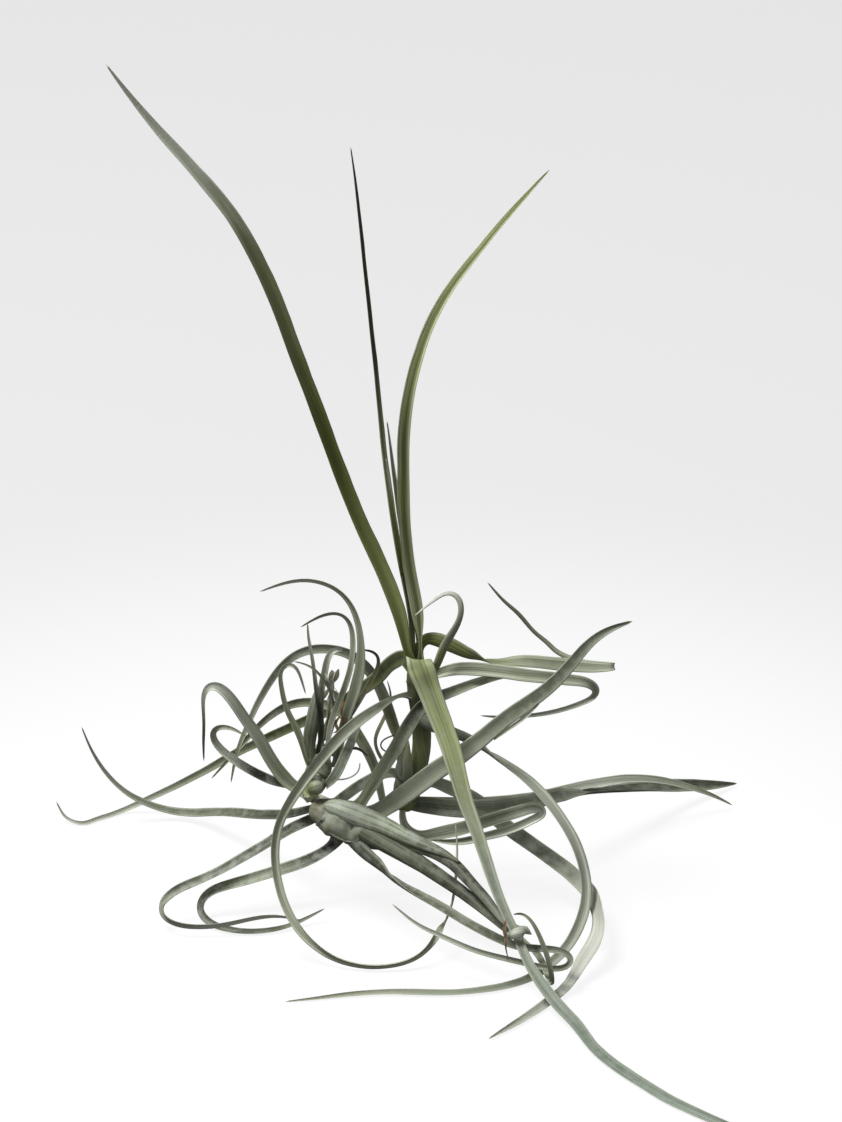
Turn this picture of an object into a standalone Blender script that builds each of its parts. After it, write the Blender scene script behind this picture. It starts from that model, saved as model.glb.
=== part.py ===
"""Air plant: three joined rosettes of long channelled leaves, lying as picked on a level surface.

Millimetres in the routes, metres in the scene. +Z is up, -Y is the front, and Z = 0 is the surface.
"""

import math

import bmesh
import bpy
import numpy as np

# Driving dimensions, mm and degrees
BLADE = 0.9  # thickness of a leaf
ACROSS = 4  # points across a leaf
LONGEST = 30  # most length between two stations of a leaf
SHARPEST = 26  # most turn between two stations of a leaf
DENSE = 16  # samples to a span of a route when the stations are placed
MIDDLE = (-11.9, -59.4)  # X and Y of the middle of the plant's outline

# Which way the channel of a leaf opens
FRONT = (0, -0.9, 0.4)
FRONT_LEFT = (-0.7, -0.8, 0.3)
FRONT_RIGHT = (0.7, -0.8, 0.3)
UP = (0, -0.2, 1)
LEFT = (-1, -0.3, 0.2)
RIGHT = (1, -0.3, 0.2)
DOWN = (0, -0.5, -1)

# Colours, linear
OLIVE = (0.075, 0.095, 0.022)
SAGE = (0.20, 0.24, 0.155)
GREY_GREEN = (0.16, 0.185, 0.125)
SILVER = (0.30, 0.33, 0.28)
PALE = (0.37, 0.41, 0.27)
DARK = (0.045, 0.055, 0.022)
BROWN = (0.16, 0.11, 0.06)


def smooth_line(rows):
    """The smooth line through the rows, each (x, y, z, width), as DENSE samples to a span."""
    rows = np.array(rows, float)
    step = np.linalg.norm(np.diff(rows[:, :3], axis=0), axis=1)[:, None]
    slope = np.diff(rows, axis=0) / step
    inner = (slope[:-1] * step[1:] + slope[1:] * step[:-1]) / (step[1:] + step[:-1])
    slopes = np.vstack([slope[:1], inner, slope[-1:]])
    t = np.linspace(0, 1, DENSE, endpoint=False)[:, None]
    spans = []
    for i, length in enumerate(step):
        held = rows[i] * (1 + 2 * t) * (1 - t) ** 2 + rows[i + 1] * t**2 * (3 - 2 * t)
        led = slopes[i] * t * (1 - t) ** 2 - slopes[i + 1] * t**2 * (1 - t)
        spans.append(held + led * length)
    return np.vstack(spans + [rows[-1:]])


def stations(line):
    """Where the cross-sections go: closer together where the line bends."""
    move = np.diff(line[:, :3], axis=0)
    length = np.linalg.norm(move, axis=1)
    heading = move / length[:, None]
    cosine = np.clip((heading[1:] * heading[:-1]).sum(axis=1), -1, 1)
    turn = np.append(np.degrees(np.arccos(cosine)), 0)
    need = np.append(0, np.cumsum(length / LONGEST + turn / SHARPEST))
    count = math.ceil(need[-1])
    return np.interp(np.linspace(0, need[-1], count + 1), need, np.arange(len(need)))


def material(obj, colour, roughness):
    """Gives the object a material of its own."""
    made = bpy.data.materials.new(obj.name)
    made.use_nodes = True
    shader = made.node_tree.nodes["Principled BSDF"]
    shader.inputs["Base Color"].default_value = (*colour, 1)
    shader.inputs["Roughness"].default_value = roughness
    shader.inputs["Metallic"].default_value = 0
    obj.data.materials.append(made)


def leaf(name, colour, face, rows, curl=62):
    """A channelled leaf along the rows. face maps a row number to the way the channel opens there."""
    line = smooth_line(rows)
    at = stations(line)
    order = np.arange(len(line))
    heading = np.gradient(line[:, :3], axis=0)
    sample = np.array([np.interp(at, order, column) for column in line.T]).T
    along = np.array([np.interp(at, order, column) for column in heading.T]).T
    along /= np.linalg.norm(along, axis=1)[:, None]
    keys = sorted(face)
    opens = np.array([np.interp(at / DENSE, keys, [face[key][k] for key in keys]) for k in range(3)]).T
    opens -= (opens * along).sum(axis=1)[:, None] * along
    opens /= np.linalg.norm(opens, axis=1)[:, None]
    aside = np.cross(along, opens)
    grid = bmesh.new()
    last = len(at) - 1
    bmesh.ops.create_grid(grid, x_segments=last, y_segments=ACROSS - 1, size=0.5)
    half = math.radians(curl)
    for vertex in grid.verts:
        i = round((vertex.co.x + 0.5) * last)
        angle = 2 * vertex.co.y * half
        radius = sample[i, 3] / 2 / math.sin(half)
        rise = radius * ((1 + math.cos(half)) / 2 - math.cos(angle))
        point = sample[i, :3] + aside[i] * radius * math.sin(angle) + opens[i] * rise
        vertex.co = (point - (*MIDDLE, 0)) / 1000
    mesh = bpy.data.meshes.new(name)
    grid.to_mesh(mesh)
    grid.free()
    mesh.shade_smooth()
    obj = bpy.data.objects.new(name, mesh)
    plant.objects.link(obj)
    wall = obj.modifiers.new("Blade", "SOLIDIFY")
    wall.thickness = BLADE / 1000
    wall.offset = 0
    material(obj, colour, 0.6)


def rod(name, colour, rows, sides=4):
    """A round stem, bulb or root along the rows, each (x, y, z, radius), with closed ends."""
    curve = bpy.data.curves.new(name, "CURVE")
    curve.dimensions = "3D"
    curve.bevel_depth = 0.001
    curve.bevel_resolution = sides
    curve.resolution_u = 4
    curve.use_fill_caps = True
    spline = curve.splines.new("BEZIER")
    spline.bezier_points.add(len(rows) - 1)
    for point, (x, y, z, radius) in zip(spline.bezier_points, rows):
        point.co = ((x - MIDDLE[0]) / 1000, (y - MIDDLE[1]) / 1000, z / 1000)
        point.handle_left_type = "AUTO"
        point.handle_right_type = "AUTO"
        point.radius = radius
    obj = bpy.data.objects.new(name, curve)
    plant.objects.link(obj)
    material(obj, colour, 0.7)


# The startup scene is cleared, and the plant gets a collection
for startup in list(bpy.data.objects):
    bpy.data.objects.remove(startup)
plant = bpy.data.collections.new("air_plant")
bpy.context.scene.collection.children.link(plant)


# Rosette A: the upright stem and its leaves

rod("A_stem", OLIVE, [
    (-9, 12, 43, 3.5), (-8.5, 12, 46, 5), (-4, 11, 60, 5), (0, 9.5, 78, 4.8),
    (0, 8, 100, 5.2), (-0.5, 6, 115, 6.5), (-0.5, 5, 126, 6.5), (-0.5, 5, 128, 6),
])

# Three tall leaves stand on top of the stem
leaf("A_leaf_tall_left", OLIVE, {0: (0.6, -0.8, 0.3)}, [
    (-4.6, 3, 128.45, 4.5), (-8.8, 4, 150, 8), (-16, 8, 171, 8.5), (-33.5, 12, 213, 8.2),
    (-57, 14, 281, 8), (-77, 14, 338, 8), (-91.5, 13, 368.5, 7.5), (-108, 12, 391, 6.5),
    (-132, 9, 421, 4), (-151, 6, 450, 0.7),
])
leaf("A_leaf_tall_mid", DARK, {0: (0.9, -0.5, 0)}, [
    (-3.8, 9, 128.45, 3), (-5, 11.5, 154, 4.8), (-11.5, 12, 189.5, 5), (-17.5, 13, 234, 4.4),
    (-22, 12, 283, 3.6), (-26.5, 10, 332, 3), (-30, 8, 371, 2.2), (-34, 6, 408, 0.6),
])
leaf("A_leaf_tall_right", OLIVE, {0: (-0.25, -1, 0)}, [
    (-0.2, 6.3, 128.45, 4.5), (-1, 8, 154, 7), (-5.5, 9, 180, 6.5), (-8.5, 8, 227, 6.4),
    (-7.5, 6, 268, 6.2), (0, 4, 303, 5.6), (12, 1, 333, 5), (28.5, -2, 357.5, 4),
    (52.5, -6, 389.5, 2), (62, -7, 401, 0.6),
])

# Two young leaves stand between them
leaf("A_leaf_inner", OLIVE, {0: (0.2, -1, 0)}, [
    (-0.3, 10.5, 128.45, 2.6), (-3, 16.5, 160, 4), (-10.5, 17.5, 205.5, 3), (-17, 17, 259.5, 0.6),
])
leaf("A_leaf_inner_small", OLIVE, {0: (0.2, -1, 0)}, [
    (-9.5, 7.9, 178, 1.4), (-10.8, 5.5, 192, 2.2), (-13.5, 6.5, 212, 1.8), (-17.4, 8, 243, 0.6),
])

# The front leaf folds over the top of the stem and runs down to the surface
leaf("A_leaf_front", SAGE, {0: (0, 1, 0.2), 1: (0, 0.2, 1), 2: (0, -0.8, 0.6)}, [
    (-0.5, -0.6, 128.45, 9), (0, -3.5, 137.5, 13), (1.5, -7, 134.5, 13.5), (5, -10, 125, 12.5),
    (11, -18, 110, 11), (17.6, -30, 94, 10), (23, -42, 77, 8), (28.5, -52, 65.5, 7),
    (35.5, -68, 49, 6), (42, -82, 36, 5), (48, -92, 27, 4.6), (55, -106, 17.5, 5.4),
    (67.5, -124, 7.5, 6.4), (75.5, -136, 4, 6.2), (87, -163, 2.4, 5.8), (106, -190, 2.2, 5.6),
    (124, -211, 2, 5.2), (143, -228, 2, 4), (165, -240, 1.2, 0.7),
])

# Two pale leaves run out to the right and fold back
leaf("A_leaf_right_upper", PALE, {0: UP, 8: DOWN, 9: (0, -1, -0.3)}, [
    (4.6, 8.4, 128.45, 3), (5, 9, 142, 5.5), (11, 8, 141.5, 6.5), (25, 6, 133.5, 6.5),
    (40, 4, 131, 6), (57, 2, 132, 6), (81.5, 2, 130.5, 6), (94.5, 3, 130, 6),
    (98, 6, 130.5, 5.5), (90.5, 9, 130.5, 4), (76.5, 12, 130, 3), (65, 14, 137, 2.6),
    (50, 16, 147, 2.3), (42.5, 16, 158, 1.6), (33, 15, 171, 0.6),
])
leaf("A_leaf_right_lower", PALE, {0: FRONT}, [
    (6.9, 4, 124.6, 4.6), (15, 3, 127.5, 6.5), (31, 0, 129, 6.5), (56.5, -3, 127, 6.5),
    (73, -5, 126.5, 6), (85, -5, 124, 5.5), (89, -2, 119, 4.5), (81.5, 2, 109.5, 3.4),
    (69, 6, 103, 2.8), (57, 9, 99, 2.4), (40, 12, 96.5, 1.8), (30, 13, 97, 0.6),
])

# A small dark leaf curls over beside the top of the stem
leaf("A_leaf_hook", DARK, {0: LEFT, 5: (-0.5, -0.7, -0.6)}, [
    (6.2, -0.2, 126.5, 3.6), (9.5, -2, 136, 5), (12, -1.5, 143, 4.8), (16, -1.5, 150.5, 4.2),
    (19.5, -1, 157.5, 3.5), (20.5, 0, 165.5, 2.8), (17.5, 2, 171, 2.4), (13, 2.5, 171.5, 2),
    (6, 1, 167.5, 1.4), (-4, -1.5, 159.5, 0.6),
])

# The long leaf of the big round loop, low in front
leaf("A_leaf_loop", SAGE, {0: (0, -0.3, 1), 3: (0.5, -0.8, 0.5), 9: (0.2, -0.8, -0.6), 13: LEFT}, [
    (-7.4, 3.5, 113.5, 3), (-20.5, -10, 113.5, 5), (-35.5, -22, 108, 6), (-49.5, -33, 97, 6),
    (-62, -43, 83.5, 5.5), (-71, -50, 69, 5), (-72.5, -60, 42.5, 4.5), (-62, -69, 19, 4.2),
    (-44.5, -76, 6, 4), (-21.5, -80, 2.8, 4), (0, -76, 7.4, 3.7), (11.5, -64, 18.5, 3.4),
    (17, -43, 26, 3), (18, -34, 34, 2.4), (18.5, -28, 44, 1.7), (17.5, -24, 54, 0.6),
])

# The leaf folded over to the left reaches the surface far behind
leaf("A_leaf_back_left", OLIVE, {0: LEFT, 2: UP}, [
    (-8.4, 6.8, 123.8, 4.6), (-10.2, 8, 130.5, 5.8), (-15, 12, 126.3, 5.8), (-23, 18, 113.6, 5.6),
    (-35.5, 25, 102, 5.4), (-46, 32, 91.2, 5.2), (-68, 44, 73.8, 5), (-93.5, 60, 53, 4.5),
    (-118, 76, 30, 4), (-133, 85, 17, 3.6), (-148.5, 90, 6.6, 3.2), (-156, 90, 3, 3),
    (-170.5, 81, 1.8, 2.6), (-180.5, 75.5, 1.6, 2.2), (-188, 78, 3.5, 1.6), (-193.5, 80, 12.5, 0.6),
])

# A narrow arch reaches over and behind rosette C
leaf("A_leaf_arch", GREY_GREEN, {0: LEFT, 4: (-0.3, -0.9, 0.6), 8: FRONT_LEFT}, [
    (-6.4, 14.8, 70.5, 4.6), (-14, 20, 88, 6), (-18, 24, 100, 5.5), (-25, 26, 115, 5),
    (-37, 25, 126.5, 4.8), (-50, 24, 130, 4.6), (-60, 23, 129, 4.4), (-70, 21, 122, 4.2),
    (-80, 19, 107, 4), (-87, 19, 92, 3.4), (-94.5, 20, 72, 2.4), (-98, 22, 53.5, 0.6),
])

# Two long leaves swing round on the right and come back along the surface
leaf("A_leaf_round_right", GREY_GREEN, {0: UP, 6: (0.6, -0.5, 0.6), 13: (0.5, -0.3, 1), 17: UP}, [
    (5, 4.6, 96.7, 4.4), (18, 2, 92.5, 6.5), (25, 1, 90, 6.5), (38.5, -4, 81.5, 6.2),
    (49.5, -10, 76, 6), (62, -20, 68, 5.6), (75, -30, 53, 5.4), (80, -35, 43.5, 5.3),
    (83, -41, 33, 5.2), (83, -50, 24.5, 5), (80.5, -58, 17.5, 4.8), (76, -66, 10.5, 4.6), (67, -77, 5, 4.4),
    (57, -88, 2.2, 4.2), (37, -100, 2, 3.6), (17.5, -104, 2, 3), (2.5, -104, 2, 3.4),
    (-20.5, -104, 2, 2.6), (-38, -106, 1.5, 2.2), (-67.5, -112, 1.2, 0.6),
])
leaf("A_leaf_sweep_right", GREY_GREEN, {0: UP, 5: (-0.2, -0.6, 0.8), 7: (-0.6, -0.7, 0.3), 13: UP}, [
    (2.5, 10, 61.5, 5.6), (12, 12, 56.5, 7.5), (28, 15, 47, 8), (40.5, 14, 35, 8),
    (62, -2, 26.5, 8), (81, -28, 22.5, 7.8), (87, -40, 21.5, 7.4), (89, -55, 20, 7),
    (89, -68, 17, 6.6), (85.5, -78, 13.5, 6.2), (80.5, -86, 10, 5.6), (78, -92, 7, 5.2),
    (71.5, -103, 3.4, 5), (65, -111, 2.3, 4.8), (56.5, -122, 2, 4.4), (48.5, -132, 1.8, 3.6),
    (33, -149, 1.4, 0.6),
])

# The long leaf to the far right and the thin one that lies along it
leaf("A_leaf_far_right", GREY_GREEN, {0: FRONT, 4: (0, -0.7, 0.7)}, [
    (-1.9, 10.7, 47.2, 5.6), (10, 6, 47.8, 9), (33, 2, 48.8, 9.5), (50, 6, 49.5, 9),
    (72, 28, 43.5, 8.2), (88, 47, 35.5, 7.8), (114, 75, 23, 7), (135, 95, 13, 6),
    (157.5, 112, 4.5, 4), (170, 121, 1.6, 0.7),
])
leaf("A_strand_far_right", GREY_GREEN, {0: UP}, [
    (-4.2, 16.5, 47, 3), (18, 24, 42, 3.5), (48, 30, 41, 3.5), (72, 42, 40, 3.5),
    (88.5, 57, 38, 3.5), (101, 64, 37, 3.5), (117.5, 72, 32.5, 3.2), (130, 80, 25, 2.8),
    (143, 86, 17.5, 2.4), (153.5, 90, 11.5, 2), (166, 94, 2.5, 0.6),
])

# The short leaf doubled back on itself
leaf("A_leaf_short_loop", PALE, {0: FRONT, 3: UP, 8: FRONT}, [
    (-9.5, 6.4, 46, 5), (-9.5, 1.5, 41, 6.5), (-4, -2.5, 37.5, 6), (12, -8, 41.5, 4.8), (32.5, -10, 47.5, 4.8),
    (50.5, -9, 53, 4.6), (60, -8, 55, 4.2), (62.5, -11, 53.5, 4), (58, -15, 52.5, 3.6),
    (43, -17, 46, 3.2), (33.5, -18, 44, 3), (17.5, -17, 40, 2.6), (4.5, -14, 39.5, 0.6),
])

# The leaf to the lower left that turns back on itself
leaf("A_leaf_left_return", GREY_GREEN, {0: UP, 8: (-0.6, -0.6, 0.6), 11: (-0.6, -0.9, -0.3)}, [
    (-8.1, 6.6, 64, 3.8), (-12, 6, 68.5, 5.5), (-25, 6, 64.5, 6), (-41.5, 3, 53.5, 6),
    (-54, -1, 45, 6), (-65, -6, 42.5, 6), (-76, -11, 37.5, 5.8), (-89, -16, 31.5, 5.5),
    (-105, -21, 24, 5), (-114.5, -24, 21, 4.8), (-126.5, -30, 18.5, 4.5), (-131.5, -35, 15, 4.2),
    (-134, -39, 12, 4), (-130.5, -42, 9, 3.8), (-124, -44, 7, 3.6), (-115, -45, 6.5, 3.4),
    (-97, -44, 7.5, 3), (-86, -42, 9.5, 2.8), (-72, -40, 10, 2.2), (-61.5, -41, 8, 0.6),
])

# A narrow dry leaf stands behind the arches
leaf("A_leaf_dry", DARK, {0: (-0.9, -0.5, 0)}, [
    (-8, 15.4, 58, 2.4), (-18, 26, 62, 3), (-24, 30, 72.5, 2.8), (-18, 32, 87.5, 2.6),
    (-15, 33, 97.5, 1.6), (-17.5, 32, 108, 0.6),
])

# A small side shoot on the stem
leaf("A_pup", OLIVE, {0: RIGHT}, [
    (-5.4, 5.6, 74, 3.6), (-9.3, 3.6, 79, 6.6), (-9.3, 3.4, 87, 5.6), (-7.6, 4, 93, 0.8),
])


# Rosette B: the silvery bulb lying in front and its leaves

rod("B_bulb", SILVER, [
    (-57, -9.7, 56.4, 2.5), (-55, -10.2, 55.8, 4.6), (-48, -12, 53.5, 8.5), (-38, -15, 50.5, 9.6),
    (-26, -19, 47.5, 8.4), (-14, -24, 44, 6.2), (-11, -25.2, 43.2, 4.5),
])

# The wide leaf crosses in front of the stem, up to the right
leaf("B_leaf_wide", GREY_GREEN, {0: FRONT}, [
    (-25, -9, 51, 6), (-19.5, -8, 54.5, 9), (-10.5, -8, 61, 10), (9.5, -9, 78, 10),
    (22.5, -10, 88, 9.6), (36, -11, 101, 9), (46, -12, 111, 8.6), (59, -12, 120, 7.6),
    (74, -12, 135.5, 6), (83, -11, 146, 4.6), (92, -10, 154.5, 3.4), (105, -8, 160, 0.6),
])
leaf("B_leaf_up", GREY_GREEN, {0: FRONT_LEFT, 4: FRONT}, [
    (-31, -7.9, 55.7, 4.6), (-26, -8, 65, 7), (-18, -7, 79, 7), (-10.5, -8, 93.5, 7),
    (-3, -8, 110.5, 6.6), (5.5, -6, 116, 6), (13, -4, 117.5, 5.6), (23.5, -1, 121, 4.8),
    (38.5, 5, 123, 3.4), (50, 8, 123, 0.7),
])

# Two leaves lie out to the left
leaf("B_leaf_ground_left", GREY_GREEN, {0: UP, 8: (-0.6, -0.6, 0.6), 11: (0, -0.6, 1)}, [
    (-40, -13, 40.7, 5), (-50.5, -13, 31, 6.5), (-62, -15, 26, 6.4), (-72, -17, 23.5, 6.2),
    (-86.5, -20, 20, 6), (-100, -21, 16.5, 5.4), (-109.5, -22, 14, 5), (-114, -24, 10, 4.6),
    (-114, -29, 6, 4.2), (-110.5, -34, 3, 3.8), (-100, -40, 2, 3.4), (-88.5, -43.5, 2, 3.2),
    (-80.5, -43, 2, 3), (-67, -37, 2, 2.6), (-61, -33, 3, 2.2), (-49, -28, 7.5, 0.6),
])
leaf("B_leaf_long_left", GREY_GREEN, {0: UP, 4: (-0.3, -0.5, 1)}, [
    (-56.5, -7.1, 53.5, 4.6), (-67.5, 8, 42.2, 6.2), (-89, 40, 25.7, 6), (-105.5, 62, 15.5, 5.6),
    (-127, 84, 2.8, 5), (-140.5, 81, 7, 4.4), (-149.5, 79, 12.5, 3.8), (-158.5, 77, 20.5, 3),
    (-165.5, 75, 30, 2.4), (-172.5, 73, 43.5, 1.6), (-178, 70, 62, 0.6),
])

# Three leaves run to the front right and tangle round the folded leaf
leaf("B_leaf_front_1", SILVER, {0: UP, 6: FRONT, 9: (0.8, 0.4, 0.3), 11: (0, -0.8, 0.6)}, [
    (-17, -22, 54.2, 5), (-6.5, -31, 49.5, 7.5), (9, -40, 46, 6), (17, -47, 44, 6),
    (25, -57, 39, 5.6), (33, -68, 35.5, 5), (38, -76, 31.5, 4.4), (43.5, -81, 27, 3.6),
    (50, -84, 25.5, 3.2), (55.5, -90, 28.7, 3.2), (51.5, -95, 32, 3.2), (46.5, -97, 31.5, 2.8),
    (41, -93, 27, 0.7),
])
leaf("B_leaf_front_2", DARK, {0: FRONT}, [
    (-10.3, -26.6, 42.5, 5.4), (1.5, -40, 40.2, 6.6), (16.7, -53, 34.2, 6), (29.6, -63, 28.6, 5.4),
    (37, -69, 25, 5), (41.5, -73, 22, 4.4), (50, -79, 18.5, 4), (57, -84, 15, 3.6),
    (61, -93, 11.5, 3.2), (63, -101, 8.8, 2.8), (64.8, -108, 8.2, 2.6), (65, -112, 13, 2.6),
    (64, -112, 20, 2.6), (61.3, -109, 28.5, 2.6), (58.9, -106, 33.4, 2.4), (55.4, -102, 40.4, 1.8),
    (52.5, -99, 43.2, 1.6), (49, -96, 43.3, 1.3), (45.6, -93, 40, 0.6),
])
leaf("B_leaf_front_3", GREY_GREEN, {0: DOWN, 3: FRONT}, [
    (-34, -23.1, 40.7, 6), (-27.5, -30.2, 38.3, 8.5), (-20.5, -38, 37.6, 7.6), (-15, -46, 35.6, 6.4),
    (-4, -56, 32.5, 5.4), (9, -68, 31, 5), (25.5, -82, 27.5, 4.4), (39, -87, 23, 4),
    (48.5, -88, 19, 3.6), (62, -93, 20.5, 3.4), (69, -96, 21.5, 3.3), (75, -99, 20, 3.2),
    (76, -101, 18.5, 3.1), (74, -103, 16, 3), (65.5, -104, 15.5, 3), (54, -97, 14, 3),
    (40.5, -95, 16.5, 2.9), (25.5, -93, 20, 2.7), (10, -86, 24, 2.3), (-1.5, -82, 28, 1.8),
    (-14.5, -77, 37.4, 0.6),
])


# Rosette C: the small old shoot on the left, with its curled leaves

rod("C_bulb", PALE, [
    (-56.3, -8.8, 60.1, 2.4), (-56.2, -7.8, 62.5, 3.8), (-54, -6, 69, 6.5), (-52, -5, 75, 6.5),
    (-51, -4.5, 83, 5), (-50.5, -4, 88, 4), (-50.5, -4, 89, 3),
])
rod("C_rootstock", BROWN, [
    (-13.7, 12.3, 46.3, 2.4), (-26, 14, 41.2, 3.2), (-40, 13, 42.6, 3), (-52, 8, 51, 2.8),
    (-58, -1, 58.5, 2.4), (-57.8, -4.3, 60.8, 2),
])

# A low arch grows from the runner and passes behind
leaf("C_leaf_low_arch", GREY_GREEN, {0: LEFT, 4: (-0.2, -0.8, 0.7)}, [
    (-19.3, 15, 46.6, 3.8), (-23, 20, 63, 5), (-28, 22, 74, 5), (-33, 23, 82, 4.8),
    (-39, 24, 92, 4.6), (-47.5, 24, 97.5, 4.5), (-58.5, 24, 99.5, 4.2), (-67, 25, 97.5, 4),
    (-77, 26, 90.5, 3.6), (-83.5, 27, 84, 3.2), (-94.5, 29, 69, 2.4), (-108.5, 31, 51, 0.6),
])

# Two hooked leaves to the left
leaf("C_leaf_hook_outer", SILVER, {0: (0.4, -0.8, 0.5), 6: (0, -0.8, 0.6), 9: (-0.7, -0.7, 0)}, [
    (-61.6, -8.8, 65, 5), (-66.5, -10, 69, 7), (-75.5, -13, 83.5, 7), (-82, -16, 99, 6.5),
    (-88.5, -18, 110, 6), (-94.5, -20, 121.5, 5.6), (-100.5, -20, 129, 5), (-105.2, -20, 132, 4.6),
    (-108.3, -20, 128.5, 4.2), (-109.5, -20, 121.5, 3.8), (-109, -21, 113, 3.2), (-109.5, -22, 99.5, 2.2),
    (-109.5, -23, 89, 0.6),
])
leaf("C_leaf_hook_inner", GREY_GREEN, {0: UP, 6: (0.3, -0.8, 0.3)}, [
    (-60.3, -4.6, 64.2, 4), (-72.5, -3, 66, 5), (-81.5, -2, 70, 5), (-88.5, -1, 74, 4.8),
    (-100.5, 0, 82.5, 4.2), (-105, 0, 88, 3.8), (-107, 0, 93.5, 3.4), (-105.5, -1, 97.5, 3),
    (-100, -2, 98.5, 2.6), (-95, -4, 98.5, 2), (-89, -6, 95, 0.6),
])

# The upright leaves curl over at their ends
leaf("C_leaf_loop", GREY_GREEN, {0: FRONT_RIGHT}, [
    (-57.2, -9.5, 80, 3.2), (-61, -10, 95.5, 4), (-68.5, -12, 115, 3.2), (-70.5, -13, 127, 2.8),
    (-71, -13, 135, 2.5), (-68, -13, 139.5, 2.3), (-64, -12, 138.5, 2), (-60.5, -11, 130, 1.5),
    (-58, -10, 120.5, 0.6),
])
leaf("C_leaf_thin", DARK, {0: FRONT}, [
    (-52.5, -9.5, 86.3, 2.4), (-49.8, -9.3, 100, 2.8), (-52.5, -9, 120, 2.4), (-54, -8, 135, 2),
    (-56, -7, 146.5, 1.6), (-57.5, -6, 154.5, 1.3), (-57, -6, 159, 0.6),
])
leaf("C_leaf_tall_outer", GREY_GREEN, {0: FRONT, 6: (-0.5, -0.8, -0.3)}, [
    (-43.8, -6.4, 77, 3.6), (-38.5, -8, 105, 5.4), (-32.5, -9, 122.5, 6), (-29, -9, 134.5, 6.6),
    (-28.5, -9, 145, 5), (-30, -8, 158, 4), (-35.5, -7, 171.5, 3.6), (-41.5, -6, 178, 3.2),
    (-50.5, -5, 181.5, 2.8), (-60.5, -4, 182, 2.3), (-70.5, -3, 179, 1.7), (-81, -2, 174, 0.6),
])
leaf("C_leaf_tall_inner", GREY_GREEN, {0: FRONT_LEFT, 5: (-0.5, -0.8, -0.3)}, [
    (-46.9, -10.4, 81.5, 2.8), (-46, -12, 102.5, 3.5), (-39, -13, 123, 3.5), (-35.5, -13, 135, 3.4),
    (-34, -13, 149.5, 3.2), (-34.5, -13, 160.5, 3), (-38, -13, 167.5, 2.6), (-43, -13, 168.5, 2.2),
    (-50.5, -13, 166, 1.6), (-60.5, -13, 159.5, 0.6),
])
leaf("C_leaf_curl_right", GREY_GREEN, {0: FRONT_LEFT}, [
    (-44.9, -2.4, 81, 3), (-39.5, -3, 98.5, 3.2), (-31, -3, 113, 3.2), (-26.5, -2, 122, 3),
    (-22, -2, 129.5, 2.6), (-20, -1, 135.5, 2.2), (-20.5, 0, 139.5, 1.8), (-24.5, 0, 141, 1.5),
    (-31, -1, 141, 0.6),
])
leaf("C_leaf_bent", PALE, {0: FRONT}, [
    (-50.5, -4.5, 89.4, 3), (-51, -5, 105, 3.5), (-50.5, -5.5, 121, 3.5), (-48.5, -6, 131.5, 3.5),
    (-47, -6, 140, 3.2), (-43.5, -5, 144, 2.8), (-40, -3, 142.5, 2), (-38.5, -2, 141, 0.8),
])
leaf("C_leaf_arc", DARK, {0: FRONT}, [
    (-48.2, -6, 89.2, 1.6), (-44.5, -7.5, 101, 1.6), (-44, -9, 113.5, 1.5), (-49.5, -13.5, 131.5, 1.4),
    (-53, -15, 137, 1.3), (-58.5, -16, 141, 1), (-64, -17, 142.5, 0.6),
])
leaf("C_leaf_sheath", BROWN, {0: RIGHT}, [
    (-57.1, -4.5, 84, 3.2), (-57.5, -4.5, 98, 4.5), (-57, -3, 114, 4), (-55.5, -2, 123, 0.8),
])
leaf("C_leaf_old", BROWN, {0: FRONT_LEFT}, [
    (-48.5, -11.9, 69, 3.2), (-43.5, -14.5, 76, 5.2), (-38.5, -15.5, 87.5, 5.2), (-34.5, -15.5, 97, 0.8),
])

# The dried flower stalk and the hair-thin roots
rod("C_flower_stalk", BROWN, [
    (-49.5, -1.6, 89.5, 0.9), (-47, -2, 105, 1), (-45.5, -3, 119, 1.2), (-44.6, -3.5, 127, 2.4),
    (-44.5, -3.5, 131, 1),
], sides=2)
rod("C_root_arc", PALE, [
    (-46.6, -7.5, 71.3, 0.4), (-41, -7, 70.5, 0.4), (-34.6, -7, 72.5, 0.4), (-31.5, -7, 76, 0.4),
    (-31, -6, 80, 0.3),
], sides=1)
rod("C_root_wire", BROWN, [
    (-46, -2, 76, 0.4), (-40, 2, 82, 0.4), (-33, 2, 84, 0.4), (-26.5, 0, 80, 0.3),
], sides=1)
rod("A_root_ring", BROWN, [
    (-4.9, 7.6, 90, 0.4), (-15.7, 3, 90, 0.4), (-19.3, 1, 89, 0.4), (-20.8, 1, 86, 0.4),
    (-19.3, 1, 83.3, 0.4), (-16.5, 2, 81.5, 0.3),
], sides=1)
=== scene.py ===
import math

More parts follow.
